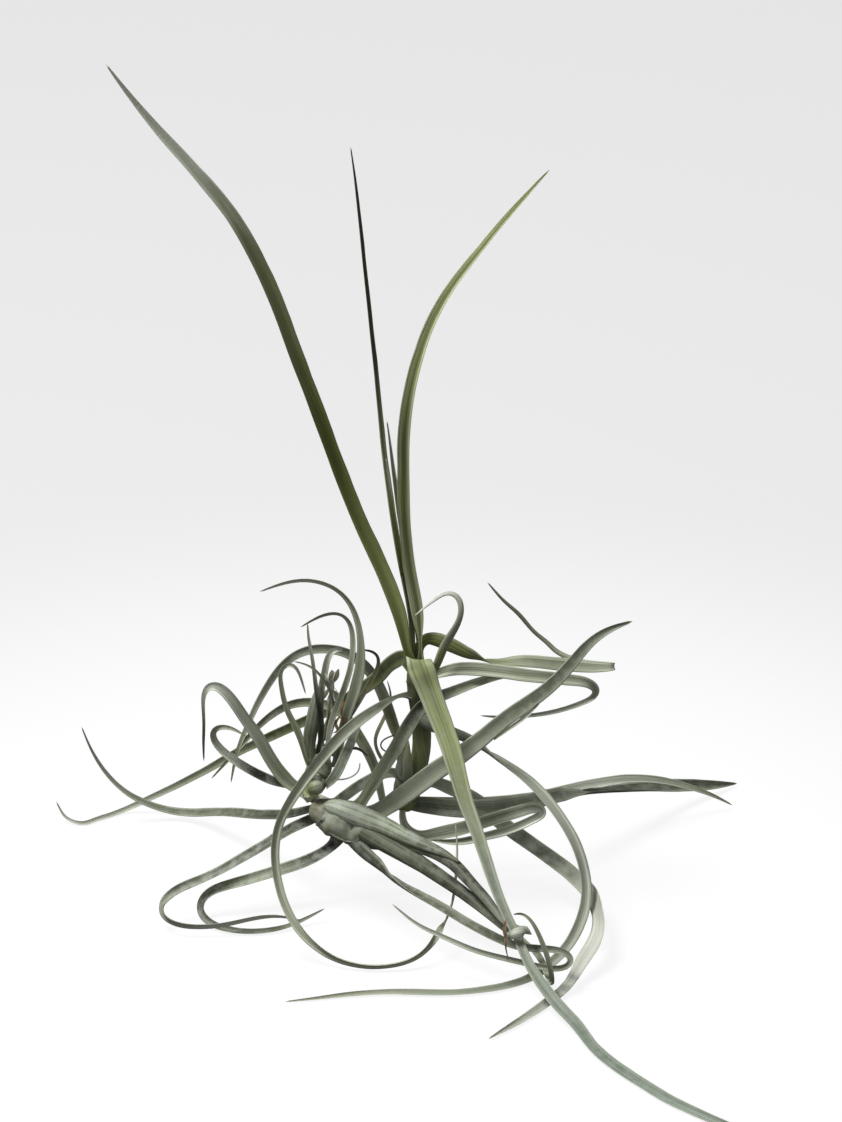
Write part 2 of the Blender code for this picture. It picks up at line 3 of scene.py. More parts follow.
import bmesh
import bpy
import numpy as np
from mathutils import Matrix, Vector


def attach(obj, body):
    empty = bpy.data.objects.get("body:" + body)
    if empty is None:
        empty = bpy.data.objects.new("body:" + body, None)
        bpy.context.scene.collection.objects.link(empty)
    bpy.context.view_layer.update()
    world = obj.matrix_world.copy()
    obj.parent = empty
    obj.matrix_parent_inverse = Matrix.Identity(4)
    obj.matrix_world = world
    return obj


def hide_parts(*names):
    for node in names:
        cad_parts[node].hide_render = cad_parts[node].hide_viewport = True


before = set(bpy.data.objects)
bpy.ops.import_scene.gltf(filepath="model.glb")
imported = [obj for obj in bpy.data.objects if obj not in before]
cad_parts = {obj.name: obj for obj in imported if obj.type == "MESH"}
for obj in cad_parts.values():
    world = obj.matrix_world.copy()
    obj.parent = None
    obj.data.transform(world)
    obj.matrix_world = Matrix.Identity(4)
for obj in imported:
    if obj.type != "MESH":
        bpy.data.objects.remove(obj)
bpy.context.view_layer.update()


# --- The studio ---
# A floor without a horizon, dark grey to the lights but glowing pale to the camera alone, which keeps
# the shadows on it faint. A softbox hangs overhead to the left and a weak fill stands in front, in an
# even surround, and the camera looks down at 25 degrees through a long lens.

# The plant's routes are in millimetres: X to the right, Y away and Z up from the surface it lies on
MIDDLE = np.array([-11.9, -59.4, 0])  # the middle of the plant's outline
LOOKED_AT = (np.array([0, 0, 190]) - MIDDLE) / 1000
ELEVATION = math.radians(25)
DISTANCE = 2.5  # metres, like the rest of the studio
FRAME_HEIGHT = 0.561  # what the camera sees from top to bottom, at the plant
SENSOR = 36  # mm
FLOOR_HALF = 6  # half the floor's side
FLOOR_GREY = (0.12, 0.12, 0.12, 1)
GLOW_NEAR = (0.88, 0.88, 0.88, 1)
GLOW_FAR = (0.71, 0.71, 0.71, 1)
FADE_FROM = 0.2  # how far from the plant's middle the glow begins to fade, and has faded
FADE_TO = 0.6
SURROUND_STRENGTH = 0.22
LIT_POINT = Vector((0, 0, 0.15))  # where the lights aim

camera_data = bpy.data.cameras.new("camera")
camera_data.type = "PERSP"
camera_data.sensor_fit = "VERTICAL"
camera_data.sensor_height = SENSOR
camera_data.lens = SENSOR * DISTANCE / FRAME_HEIGHT
camera = bpy.data.objects.new("camera", camera_data)
back = Vector((0, -math.cos(ELEVATION), math.sin(ELEVATION)))
camera.location = Vector(LOOKED_AT) + DISTANCE * back
camera.rotation_euler = back.to_track_quat("Z", "Y").to_euler()
bpy.context.scene.collection.objects.link(camera)
bpy.context.scene.camera = camera
bpy.context.scene.view_settings.view_transform = "Standard"

floor_mesh = bpy.data.meshes.new("studio_floor")
floor_grid = bmesh.new()
bmesh.ops.create_grid(floor_grid, x_segments=8, y_segments=8, size=FLOOR_HALF)
floor_grid.to_mesh(floor_mesh)
floor_grid.free()
studio_floor = bpy.data.objects.new("studio_floor", floor_mesh)
bpy.context.scene.collection.objects.link(studio_floor)

floor_paint = bpy.data.materials.new("studio_floor")
floor_paint.use_nodes = True
tree = floor_paint.node_tree
paint = tree.nodes["Principled BSDF"]
paint.inputs["Roughness"].default_value = 0.9
paint.inputs["Specular IOR Level"].default_value = 0.1
paint.inputs["Base Color"].default_value = FLOOR_GREY
place = tree.nodes.new("ShaderNodeTexCoord")
far = tree.nodes.new("ShaderNodeVectorMath")
far.operation = "LENGTH"
fade = tree.nodes.new("ShaderNodeMapRange")
fade.interpolation_type = "SMOOTHSTEP"
fade.inputs["From Min"].default_value = FADE_FROM
fade.inputs["From Max"].default_value = FADE_TO
glow = tree.nodes.new("ShaderNodeMix")
glow.data_type = "RGBA"
glow.inputs["A"].default_value = GLOW_NEAR
glow.inputs["B"].default_value = GLOW_FAR
tree.links.new(place.outputs["Object"], far.inputs[0])
tree.links.new(far.outputs["Value"], fade.inputs["Value"])
tree.links.new(fade.outputs["Result"], glow.inputs["Factor"])
tree.links.new(glow.outputs["Result"], paint.inputs["Emission Color"])
seen = tree.nodes.new("ShaderNodeLightPath")
tree.links.new(seen.outputs["Is Camera Ray"], paint.inputs["Emission Strength"])
floor_mesh.materials.append(floor_paint)

surround = bpy.data.worlds.new("surround")
surround.use_nodes = True
air = surround.node_tree.nodes["Background"]
air.inputs["Color"].default_value = (1, 1, 1, 1)
air.inputs["Strength"].default_value = SURROUND_STRENGTH
bpy.context.scene.world = surround


def softbox(name, place, size, watts):
    """A square soft light, of a size in metres and a power in watts, that faces the plant."""
    lamp = bpy.data.lights.new(name, "AREA")
    lamp.size = size
    lamp.energy = watts
    box = bpy.data.objects.new(name, lamp)
    box.location = place
    box.rotation_euler = (Vector(place) - LIT_POINT).to_track_quat("Z", "Y").to_euler()
    bpy.context.scene.collection.objects.link(box)


softbox("overhead_light", (-0.8, -0.2, 2.05), 0.8, 50)
softbox("front_fill", (0.9, -1.9, 1.1), 1.4, 4)


# --- The stem ---
# The upright stem of the largest rosette, hard and olive green to brown. The sheaths of its leaves
# wrap it, and the runner of the small shoot meets it at its foot.

GROWTH_SEED = 11
STEP = 2.4  # mm between two cross-sections of a straight piece
TURN = 6  # degrees between two cross-sections of a bent one
SAMPLES = 40  # points worked out along each span of a route
PER_MM = 2  # points to the millimetre while a route is eased
chance = np.random.default_rng(GROWTH_SEED)


def smooth_line(rows, samples=SAMPLES):
    """The smooth line through the rows of x, y, z and size, as so many samples to a span."""
    rows = np.array(rows, float)
    step = np.linalg.norm(np.diff(rows[:, :3], axis=0), axis=1)[:, None]
    slope = np.diff(rows, axis=0) / step
    inner = (slope[:-1] * step[1:] + slope[1:] * step[:-1]) / (step[1:] + step[:-1])
    slopes = np.vstack([slope[:1], inner, slope[-1:]])
    t = np.linspace(0, 1, samples, endpoint=False)[:, None]
    spans = []
    for i, length in enumerate(step):
        held = rows[i] * (1 + 2 * t) * (1 - t) ** 2 + rows[i + 1] * t**2 * (3 - 2 * t)
        led = slopes[i] * t * (1 - t) ** 2 - slopes[i + 1] * t**2 * (1 - t)
        spans.append(held + led * length)
    return np.vstack(spans + [rows[-1:]])


def relaxed(line, soft):
    """The line with its small kinks eased out over about soft millimetres, and its two ends kept."""
    travel = np.append(0, np.cumsum(np.linalg.norm(np.diff(line[:, :3], axis=0), axis=1)))
    even = np.linspace(0, travel[-1], round(travel[-1] * PER_MM) + 1)
    points = np.array([np.interp(even, travel, column) for column in line.T]).T
    reach = min(int(2 * soft * PER_MM), len(even) - 2)
    weights = np.exp(-0.5 * (np.arange(-reach, reach + 1) / (soft * PER_MM)) ** 2)
    weights /= weights.sum()
    first = 2 * points[0] - points[reach:0:-1]
    final = 2 * points[-1] - points[-2:-reach - 2:-1]
    padded = np.vstack([first, points, final])
    eased = np.array([np.convolve(column, weights, "valid") for column in padded.T]).T
    return np.array([np.interp(travel, even, column) for column in eased.T]).T


def stations(rows, step=STEP, turn=TURN, soft=3):
    """Cross-sections along the rows: row numbers, points with sizes, headings and run lengths."""
    line = relaxed(smooth_line(rows), soft)
    move = np.diff(line[:, :3], axis=0)
    length = np.linalg.norm(move, axis=1)
    heading = move / length[:, None]
    cosine = np.clip((heading[1:] * heading[:-1]).sum(axis=1), -1, 1)
    bend = np.append(np.degrees(np.arccos(cosine)), 0)
    need = np.append(0, np.cumsum(length / step + bend / turn))
    at = np.interp(np.linspace(0, need[-1], math.ceil(need[-1]) + 1), need, np.arange(len(need)))
    order = np.arange(len(line))
    point = np.array([np.interp(at, order, column) for column in line.T]).T
    along = np.array([np.interp(at, order, column) for column in np.gradient(line[:, :3], axis=0).T]).T
    along /= np.linalg.norm(along, axis=1)[:, None]
    run = np.interp(at, order, np.append(0, np.cumsum(length)))
    return at / SAMPLES, point, along, run


def wander(run, wave, size):
    """A slow, uneven drift along a piece, about the given wavelength and size."""
    phases = chance.uniform(0, 2 * math.pi, 3)
    waves = wave * np.array([1, 0.62, 0.37])
    return size * sum(
        np.sin(2 * math.pi * run / length + phase) / (n + 1)
        for n, (length, phase) in enumerate(zip(waves, phases))
    )


def grown(name, places, lays, reach, wide, skin, node):
    """Makes the mesh from rows of points that close round on themselves, and hands it to the plant."""
    rows, columns = places.shape[:2]
    body = bmesh.new()
    bmesh.ops.create_grid(body, x_segments=rows - 1, y_segments=columns - 1, size=0.5)
    lay = body.verts.layers.float_vector.new("lay")
    share = body.verts.layers.float.new("reach")
    breadth = body.verts.layers.float.new("wide")
    for vertex in body.verts:
        i = round((vertex.co.x + 0.5) * (rows - 1))
        j = round((vertex.co.y + 0.5) * (columns - 1))
        vertex[lay] = lays[i, j]
        vertex[share] = reach[i]
        vertex[breadth] = wide[i]
        vertex.co = (places[i, j] - MIDDLE) / 1000
    bmesh.ops.remove_doubles(body, verts=body.verts, dist=1e-7)
    bmesh.ops.holes_fill(body, edges=[edge for edge in body.edges if edge.is_boundary], sides=0)
    bmesh.ops.recalc_face_normals(body, faces=body.faces)
    mesh = bpy.data.meshes.new(name)
    body.to_mesh(mesh)
    body.free()
    mesh.shade_smooth()
    mesh.materials.append(skin)
    piece = bpy.data.objects.new(name, mesh)
    bpy.context.scene.collection.objects.link(piece)
    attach(piece, "root")
    if node:
        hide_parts(node)
    return piece


def node_group(name, inputs, outputs):
    """An empty shader group with sockets given as pairs of name and type."""
    group = bpy.data.node_groups.new(name, "ShaderNodeTree")
    for in_out, sockets in (("INPUT", inputs), ("OUTPUT", outputs)):
        for label, kind in sockets:
            group.interface.new_socket(name=label, in_out=in_out, socket_type="NodeSocket" + kind)
    return group, group.nodes.new("NodeGroupInput"), group.nodes.new("NodeGroupOutput")


def calc(tree, operation, first, second=0.5, third=0.0):
    """A Math node on values or sockets."""
    made = tree.nodes.new("ShaderNodeMath")
    made.operation = operation
    for socket, value in zip(made.inputs, (first, second, third)):
        if isinstance(value, (int, float)):
            socket.default_value = value
        else:
            tree.links.new(value, socket)
    return made.outputs[0]


def ease(tree, value, low, high, from_=0.0, to=1.0):
    """value eased from one number to another as it goes from low to high."""
    made = tree.nodes.new("ShaderNodeMapRange")
    made.interpolation_type = "SMOOTHSTEP"
    for label, number in (("From Min", low), ("From Max", high), ("To Min", from_), ("To Max", to)):
        made.inputs[label].default_value = number
    tree.links.new(value, made.inputs["Value"])
    return made.outputs["Result"]


def noise(tree, vector, scale, detail=4.0, roughness=0.55):
    """A noise from 0 to 1 over the vector."""
    made = tree.nodes.new("ShaderNodeTexNoise")
    made.inputs["Scale"].default_value = scale
    made.inputs["Detail"].default_value = detail
    made.inputs["Roughness"].default_value = roughness
    tree.links.new(vector, made.inputs["Vector"])
    return made.outputs["Fac"]


def stretch(tree, vector, by):
    """The vector stretched by three factors."""
    made = tree.nodes.new("ShaderNodeVectorMath")
    made.operation = "MULTIPLY"
    made.inputs[1].default_value = by
    tree.links.new(vector, made.inputs[0])
    return made.outputs[0]


def blend(tree, share, first, second, how="MIX"):
    """One colour mixed into another by a share."""
    made = tree.nodes.new("ShaderNodeMix")
    made.data_type = "RGBA"
    made.blend_type = how
    for label, value in (("Factor", share), ("A", first), ("B", second)):
        socket = made.inputs[label]
        if isinstance(value, (int, float, tuple)):
            socket.default_value = value
        else:
            tree.links.new(value, socket)
    return made.outputs["Result"]


# Felt of scales: a soft cloudy cover with tiny raised flecks
CLOUDS = 190  # scales of the two noises, to the metre
FLECKS = 1300
felt, into, out_of = node_group(
    "scale_felt", [("Position", "Vector")], [("Cover", "Float"), ("Height", "Float")]
)
cloud = noise(felt, into.outputs["Position"], CLOUDS, 3)
fleck = noise(felt, into.outputs["Position"], FLECKS, 2, 0.7)
flecked = calc(felt, "MULTIPLY_ADD", cloud, 0.75, calc(felt, "MULTIPLY", fleck, 0.25))
felt.links.new(flecked, out_of.inputs["Cover"])
felt.links.new(fleck, out_of.inputs["Height"])

# Veins: fine lengthwise lines, a few broad bands, and slower blotches along the piece
veins, into, out_of = node_group(
    "leaf_veins", [("Lay", "Vector")], [("Veins", "Float"), ("Bands", "Float"), ("Blotch", "Float")]
)
fine = noise(veins, stretch(veins, into.outputs["Lay"], (2, 6, 2)), 1.7, 3, 0.5)
broad = noise(veins, stretch(veins, into.outputs["Lay"], (0.7, 2.6, 1.3)), 1.5, 1, 0.4)
slow = noise(veins, stretch(veins, into.outputs["Lay"], (5, 0.9, 0.6)), 1.4, 3, 0.5)
veins.links.new(fine, out_of.inputs["Veins"])
veins.links.new(broad, out_of.inputs["Bands"])
veins.links.new(slow, out_of.inputs["Blotch"])


NARROW = 1.5  # mm, the width up to which a piece has next to no markings
BROAD = 5.5  # mm, the width from which it has them in full
ROUGHNESS = 0.5
SEE_THROUGH = 0.12  # the share of light that passes through the flesh
# Painted shade that darkens the hollow of a leaf's channel
PAINTED_HOLLOW_SHADE = (0.27, 0.29, 0.2, 1)
# The darker olive of a leaf's outer side, partly its own tone and partly painted shade
OUTER_OLIVE_AND_SHADE = (0.32, 0.34, 0.22, 1)
MARGIN = (0.46, 0.5, 0.38, 1)
FELT = (0.42, 0.46, 0.4)


def plant_skin(name, colours, bands=0.5, felted=0.3, silver=FELT, channel=0.0, edge=0.0, under=0.0):
    """The skin of one piece. colours are its colours along its length, bands how strongly it is striped
    lengthwise, and felted how much felt, of the colour silver, covers it. On a leaf, channel is how much
    painted shade darkens its hollow, edge how pale its margins are, and under how dark its outer side
    is, partly from its own olive and partly from painted shade."""
    skin = bpy.data.materials.new(name)
    skin.use_nodes = True
    tree = skin.node_tree
    shader = tree.nodes["Principled BSDF"]
    read, along, across = (tree.nodes.new("ShaderNodeAttribute") for _ in range(3))
    for reader, attribute in ((read, "lay"), (along, "reach"), (across, "wide")):
        reader.attribute_name = attribute
    plain = ease(tree, across.outputs["Fac"], NARROW, BROAD, 0.1, 1.0)
    place = tree.nodes.new("ShaderNodeTexCoord").outputs["Object"]
    apart = tree.nodes.new("ShaderNodeSeparateXYZ")
    tree.links.new(read.outputs["Vector"], apart.inputs[0])
    covering = tree.nodes.new("ShaderNodeGroup")
    covering.node_tree = felt
    tree.links.new(place, covering.inputs["Position"])
    lines = tree.nodes.new("ShaderNodeGroup")
    lines.node_tree = veins
    tree.links.new(read.outputs["Vector"], lines.inputs["Lay"])
    shifted = calc(tree, "SUBTRACT", along.outputs["Fac"], 0.07)
    reach = calc(tree, "MULTIPLY_ADD", lines.outputs["Blotch"], 0.14, shifted)
    # The colours along a piece hold painted shade and light as well as its own tone: darker where it lies in
    # shade, paler where it catches the light
    ramp = tree.nodes.new("ShaderNodeValToRGB")
    ramp.color_ramp.interpolation = "EASE"
    for _ in colours[2:]:
        ramp.color_ramp.elements.new(0.5)
    for i, (stop, colour) in enumerate(zip(ramp.color_ramp.elements, colours)):
        stop.position = (i + 0.5) / len(colours)
        stop.color = (*colour, 1)
    tree.links.new(reach, ramp.inputs[0])
    colour = ramp.outputs["Color"]
    rim = calc(tree, "ABSOLUTE", apart.outputs["Y"])
    # Painted shade darkens the hollow of the channel, most along its middle on the inner face
    if channel:
        inside = calc(tree, "MULTIPLY", apart.outputs["Z"], channel)
        hollow = calc(tree, "MULTIPLY", ease(tree, rim, 0.7, 0.0), inside)
        colour = blend(tree, hollow, colour, PAINTED_HOLLOW_SHADE, "MULTIPLY")
    # The outer side of a leaf is darkened, partly to its own olive and partly by painted shade
    if under:
        outer = calc(tree, "MULTIPLY", ease(tree, apart.outputs["Z"], 0.6, 0.2), under)
        colour = blend(tree, outer, colour, OUTER_OLIVE_AND_SHADE, "MULTIPLY")
    band = ease(tree, lines.outputs["Bands"], 0.36, 0.62, 1 - 0.5 * bands, 1 + 0.5 * bands)
    streak = ease(tree, lines.outputs["Veins"], 0.3, 0.7, 1 - 0.25 * bands, 1 + 0.25 * bands)
    shade = tree.nodes.new("ShaderNodeCombineXYZ")
    for socket in shade.inputs:
        tree.links.new(calc(tree, "MULTIPLY", band, streak), socket)
    colour = blend(tree, plain, colour, shade.outputs[0], "MULTIPLY")
    most = calc(tree, "MULTIPLY", plain, felted)
    cover = calc(tree, "MULTIPLY", ease(tree, covering.outputs["Cover"], 0.42, 0.62), most)
    colour = blend(tree, cover, colour, (*silver, 1))
    if edge:
        palest = calc(tree, "MULTIPLY", plain, edge)
        thin = calc(tree, "MULTIPLY", ease(tree, rim, 0.7, 0.95), palest)
        colour = blend(tree, thin, colour, MARGIN)
    tree.links.new(colour, shader.inputs["Base Color"])
    dull = ease(tree, covering.outputs["Cover"], 0.3, 0.7, ROUGHNESS - 0.12, ROUGHNESS + 0.15)
    tree.links.new(dull, shader.inputs["Roughness"])
    flecks = calc(tree, "MULTIPLY", covering.outputs["Height"], 0.15)
    height = calc(tree, "MULTIPLY_ADD", lines.outputs["Veins"], 0.7, flecks)
    relief = tree.nodes.new("ShaderNodeBump")
    relief.inputs["Strength"].default_value = 0.35
    relief.inputs["Distance"].default_value = 0.0003
    tree.links.new(calc(tree, "MULTIPLY", height, plain), relief.inputs["Height"])
    tree.links.new(relief.outputs["Normal"], shader.inputs["Normal"])
    for label, value in (
        ("Subsurface Weight", SEE_THROUGH), ("Subsurface Radius", (1.0, 1.0, 0.8)),
        ("Subsurface Scale", 0.001), ("Sheen Weight", 0.04), ("Sheen Roughness", 0.5),
        ("Specular IOR Level", 0.32),
    ):
        shader.inputs[label].default_value = value
    return skin


def stalk(node, rows, colours, slot, lumps=0.0, around=24, name=None, **look):
    """A round body along the rows of x, y, z and radius: a stem, a bulb, a runner or a root. lumps is
    how uneven it is, and around how many faces it has round it."""
    name = name or node + "_body"
    at, point, along, run = stations(rows, step=1.2, turn=8, soft=1.5)
    side = np.cross(along, np.full_like(along, (0.13, 0.2, 0.97)))
    side /= np.linalg.norm(side, axis=1)[:, None]
    up = np.cross(side, along)
    turns = np.linspace(0, 2 * math.pi, around + 1)
    places = np.empty((len(at), around + 1, 3))
    lays = np.empty((len(at), around + 1, 3))
    swell = [wander(run, 14, lumps) for _ in range(3)]
    for j, turn in enumerate(turns):
        bump = 1 + swell[0] * math.cos(turn) + swell[1] * math.sin(2 * turn)
        bump += swell[2] * math.cos(3 * turn)
        ray = side * math.cos(turn) + up * math.sin(turn)
        places[:, j] = point[:, :3] + ray * (point[:, 3] * bump)[:, None]
        lays[:, j, 0] = run / 100
        lays[:, j, 1] = math.cos(turn)
        lays[:, j, 2] = math.sin(turn)
    places[:, -1] = places[:, 0]
    places[0] = point[0, :3]
    places[-1] = point[-1, :3]
    return grown(name, places, lays, run / run[-1], 2 * point[:, 3],
                 plant_skin(name + "_skin", colours, **look), node)


LEAF_GREEN = (0.25, 0.285, 0.1)
SPRING_GREEN = (0.305, 0.345, 0.16)
BARK_GREEN = (0.115, 0.115, 0.045)
DULL_FELT = (0.32, 0.35, 0.27)

STEM = [
    (-9, 12, 43, 3.5), (-8.5, 12, 46, 5), (-4, 11, 60, 5), (0, 9.5, 78, 4.8),
    (0, 8, 100, 5.2), (-0.5, 6, 115, 6.5), (-0.5, 5, 126, 6.5), (-0.5, 5, 128, 6),
]

stalk("A_stem", STEM, [LEAF_GREEN, SPRING_GREEN, BARK_GREEN, BARK_GREEN], "leaf_olive", bands=0.28,
    felted=0.15, silver=DULL_FELT)


# --- The three tall leaves ---
# Long channelled blades: thick and soft along the midrib, thin at the margins and rolled up towards
# the tip. The two outer ones stand on sheaths that wrap the top of the stem.

ACROSS = 9  # faces across one side of a leaf
STEM_SAMPLES = 60  # points along each span of a stem that a sheath wraps
FOOT = 1.15  # how thick a leaf is at its foot, for one that thins out from there
THINNING = 0.5  # how much of that is gone at its tip
SHEATH = 0.7  # mm, the most that a leaf is thick where it is rolled up
ROLLED = 1.5  # radians, the half angle from which it counts as rolled up


def between(at, values):
    """The values held at some rows, read at every station. values maps a row number to a value."""
    keys = sorted(values)
    found = [values[key] for key in keys]
    if np.ndim(found[0]) == 0:
        return np.interp(at, keys, found)
    return np.array([np.interp(at, keys, column) for column in np.transpose(found)]).T


def clasping(stem, rows, opens, curl, reach, wrap, stand):
    """The rows, channel and curl of a leaf with its sheath in front, which wraps the stem below it."""
    line = smooth_line(stem, STEM_SAMPLES)
    start = np.array(rows[0][:3], float)
    near = int(np.argmin(np.linalg.norm(line[:, :3] - start, axis=1)))
    travel = np.append(0, np.cumsum(np.linalg.norm(np.diff(line[:, :3], axis=0), axis=1)))
    reach = min(reach, travel[near])
    low, half_way = (int(np.searchsorted(travel, travel[near] - back)) for back in (reach, reach / 2))
    axis = line[near, :3] - line[max(near - 8, 0), :3]
    axis /= np.linalg.norm(axis)
    out = start - line[near, :3]
    out -= out.dot(axis) * axis
    out /= np.linalg.norm(out)
    sheath = [(*line[k, :3], 2 * line[k, 3] + more) for k, more in ((low, 0.1), (half_way, 2 * stand))]
    return (
        sheath + [tuple(row) for row in rows],
        {0: tuple(-out), 1: tuple(-out), **{key + 2: value for key, value in opens.items()}},
        {0: wrap, 1: wrap - 15, **{key + 2: value for key, value in curl.items()}},
    )


def blade(node, rows, opens, colours, slot="leaf_grey_green", curl=None, thick=0.15, name=None,
          waver=0.4, soft=3, lean=0, stem=None, reach=14, wrap=140, stand=0.4, channel=0.4, edge=0.4,
          under=0.25, **look):
    """A leaf along the rows of x, y, z and width. opens maps a row number to the way its channel faces,
    and curl a row number to the half angle, in degrees, that the blade is curled through there. soft is how
    far its kinks are eased, and lean how much more one half of it is curled than the other. Where stem
    holds a stem's rows, the leaf has a sheath that wraps it below, over the reach and the half angle wrap,
    and stands off it by stand. thick is its thickness for its width, and waver how much it wavers."""
    name = name or node + "_blade"
    last = len(rows) - 1
    curl = curl or {0: 80, 1: 62, last - 2: 62, last: 100}
    if stem:
        rows, opens, curl = clasping(stem, rows, opens, curl, reach, wrap, stand)
    at, point, along, run = stations(rows, soft=soft)
    half = np.radians(between(at, curl))
    facing = between(at, opens)
    facing -= (facing * along).sum(axis=1)[:, None] * along
    facing /= np.linalg.norm(facing, axis=1)[:, None]
    aside = np.cross(along, facing)
    share_run = run / run[-1]
    wide = point[:, 3] * (1 + wander(run, 42, 0.02 * waver))
    middle = point[:, :3] + aside * wander(run, 90, 0.3 * waver)[:, None]
    halves = [half * (1 + tilt + wander(run, 34, 0.05 * waver)) for tilt in (-lean, lean)]
    bulk = thick * wide * np.minimum(FOOT - THINNING * share_run, 1)
    bulk = np.where(half > ROLLED, np.minimum(bulk, SHEATH), bulk)
    shares = np.linspace(-1, 1, ACROSS + 1)
    columns = np.append(shares, shares[-2::-1])
    sides = np.append(np.full(ACROSS + 1, -0.5), np.full(ACROSS, 0.5))
    places = np.empty((len(at), len(columns), 3))
    lays = np.empty((len(at), len(columns), 3))
    radius = wide / 2 / np.sin(np.minimum(half, math.pi / 2))
    centre = middle + facing * (radius * (1 + np.cos(half)) / 2)[:, None]
    for j, (share, side) in enumerate(zip(columns, sides)):
        angle = share * halves[int(share > 0)]
        outward = aside * np.sin(angle)[:, None] - facing * np.cos(angle)[:, None]
        depth = radius + side * bulk * (1 - share**2) ** 0.6
        places[:, j] = centre + outward * depth[:, None]
        lays[:, j, 0] = run / 100
        lays[:, j, 1] = share
        lays[:, j, 2] = 0.5 if abs(share) == 1 else 0.5 - side
    places[-1] = middle[-1]
    skin = plant_skin(name + "_skin", colours, channel=channel, edge=edge, under=under, **look)
    return grown(name, places, lays, share_run, wide, skin, node)


MOSS = (0.12, 0.14, 0.03)
OLIVE = (0.165, 0.19, 0.065)
DULL_OLIVE = (0.215, 0.235, 0.11)
FROST = (0.52, 0.55, 0.46)
LIGHT_GREEN = (0.385, 0.415, 0.235)
# A very dark green, partly the leaves' own tone and partly painted shade where they lie deep among others
DARK_GREEN_AND_SHADE = (0.065, 0.07, 0.045)
LIME = (0.5, 0.535, 0.28)

blade("A_leaf_tall_left", [
    (-4.6, 3, 128.45, 4.5), (-8.8, 4, 150, 8), (-16, 8, 171, 8.5), (-33.5, 12, 213, 8.2),
    (-57, 14, 281, 8), (-77, 14, 338, 8), (-91.5, 13, 368.5, 7.5), (-108, 12, 391, 6.5),
    (-132, 9, 421, 4), (-151, 6, 450, 0.7),
], {0: (0.6, -0.8, 0.3)}, [LEAF_GREEN, MOSS, DULL_OLIVE, FROST], "leaf_olive", stem=STEM, stand=0.1,
    reach=8, under=0.1, soft=9, bands=0.25, felted=0, edge=0.15)

blade("A_leaf_tall_mid", [
    (-3.8, 9, 128.45, 3), (-5, 11.5, 154, 4.8), (-11.5, 12, 189.5, 5), (-17.5, 13, 234, 4.4),
    (-22, 12, 283, 3.6), (-26.5, 10, 332, 3), (-30, 8, 371, 2.2), (-34, 6, 408, 0.6),
], {0: (0.9, -0.5, 0)}, [OLIVE, LIGHT_GREEN, DARK_GREEN_AND_SHADE, DARK_GREEN_AND_SHADE], "leaf_dark", soft=12, felted=0.05, edge=0.3)

blade("A_leaf_tall_right", [
    (-0.2, 6.3, 128.45, 4.5), (-1, 8, 154, 7), (-5.5, 9, 180, 6.5), (-8.5, 8, 227, 6.4),
    (-7.5, 6, 268, 6.2), (0, 4, 303, 5.6), (12, 1, 333, 5), (28.5, -2, 357.5, 4),
    (52.5, -6, 389.5, 2), (62, -7, 401, 0.6),
], {0: (-0.25, -1, 0), 4: (-0.25, -1, 0), 7: (-0.7, -0.8, 0.5)}, [LIGHT_GREEN, SPRING_GREEN, LIME, LIME],
    "leaf_olive", stem=STEM, stand=0.1, reach=8, under=0.15, soft=8, felted=0, edge=0.8, channel=0.9)


# --- The young leaves ---
# Two narrow leaves still rolled up in the heart of the plant, soft and green. One grows from the
# end of the stem and the other is held between the tall leaves.

MIST = (0.51, 0.55, 0.41)

blade("A_leaf_inner", [
    (-0.3, 10.5, 128.45, 2.6), (-3, 16.5, 160, 4), (-10.5, 17.5, 205.5, 3), (-17, 17, 259.5, 0.6),
], {0: (0.2, -1, 0)}, [OLIVE, LEAF_GREEN, LIME, FROST], "leaf_olive", soft=8, bands=0.6)

blade("A_leaf_inner_small", [
    (-9.5, 7.9, 178, 1.4), (-10.8, 5.5, 192, 2.2), (-13.5, 6.5, 212, 1.8), (-17.4, 8, 243, 0.6),
], {0: (0.2, -1, 0)}, [MOSS, MOSS, LEAF_GREEN, MIST], "leaf_olive", soft=6, bands=0.6)


# --- The front leaf ---
# The widest leaf of the top. It has folded flat over the end of the stem, runs down to the surface
# in front, and is stiff and light green under its felt.

LIGHT_SAGE = (0.305, 0.335, 0.255)
BLUE_SAGE = (0.255, 0.3, 0.245)

blade("A_leaf_front", [
    (-0.5, -0.6, 128.45, 9), (0, -3.5, 137.5, 13), (1.5, -7, 134.5, 13.5), (5, -10, 125, 12.5),
    (11, -18, 110, 11), (17.6, -30, 94, 10), (23, -42, 77, 8), (28.5, -52, 65.5, 7),
    (35.5, -68, 49, 6), (42, -82, 36, 5), (48, -92, 27, 4.6), (55, -106, 17.5, 5.4),
    (67.5, -124, 7.5, 6.4), (75.5, -136, 4, 6.2), (87, -163, 2.4, 5.8), (106, -190, 2.2, 5.6),
    (124, -211, 2, 5.2), (143, -228, 2, 4), (165, -240, 1.2, 0.7),
], {0: (0, 1, 0.2), 1: (0, 0.2, 1), 2: (0, -0.8, 0.6)}, [SPRING_GREEN, LIGHT_SAGE, BLUE_SAGE, BLUE_SAGE],
    "leaf_sage", curl={0: 80, 1: 26, 2: 22, 3: 28, 5: 42, 16: 60, 18: 100}, soft=2, bands=0.45,
    lean=0.25, under=0.5, felted=0.2, edge=0.6, channel=0.3)


# --- The pale leaves on the right ---
# Two soft leaves with pale stripes that run out to the right and fold back on themselves. They
# leave the stem just under its end.

SAGE = (0.27, 0.3, 0.205)
GREY_GREEN = (0.22, 0.24, 0.175)
SOFT_SAGE = (0.34, 0.365, 0.265)

# The way a leaf's channel faces
FRONT = (0, -0.9, 0.4)

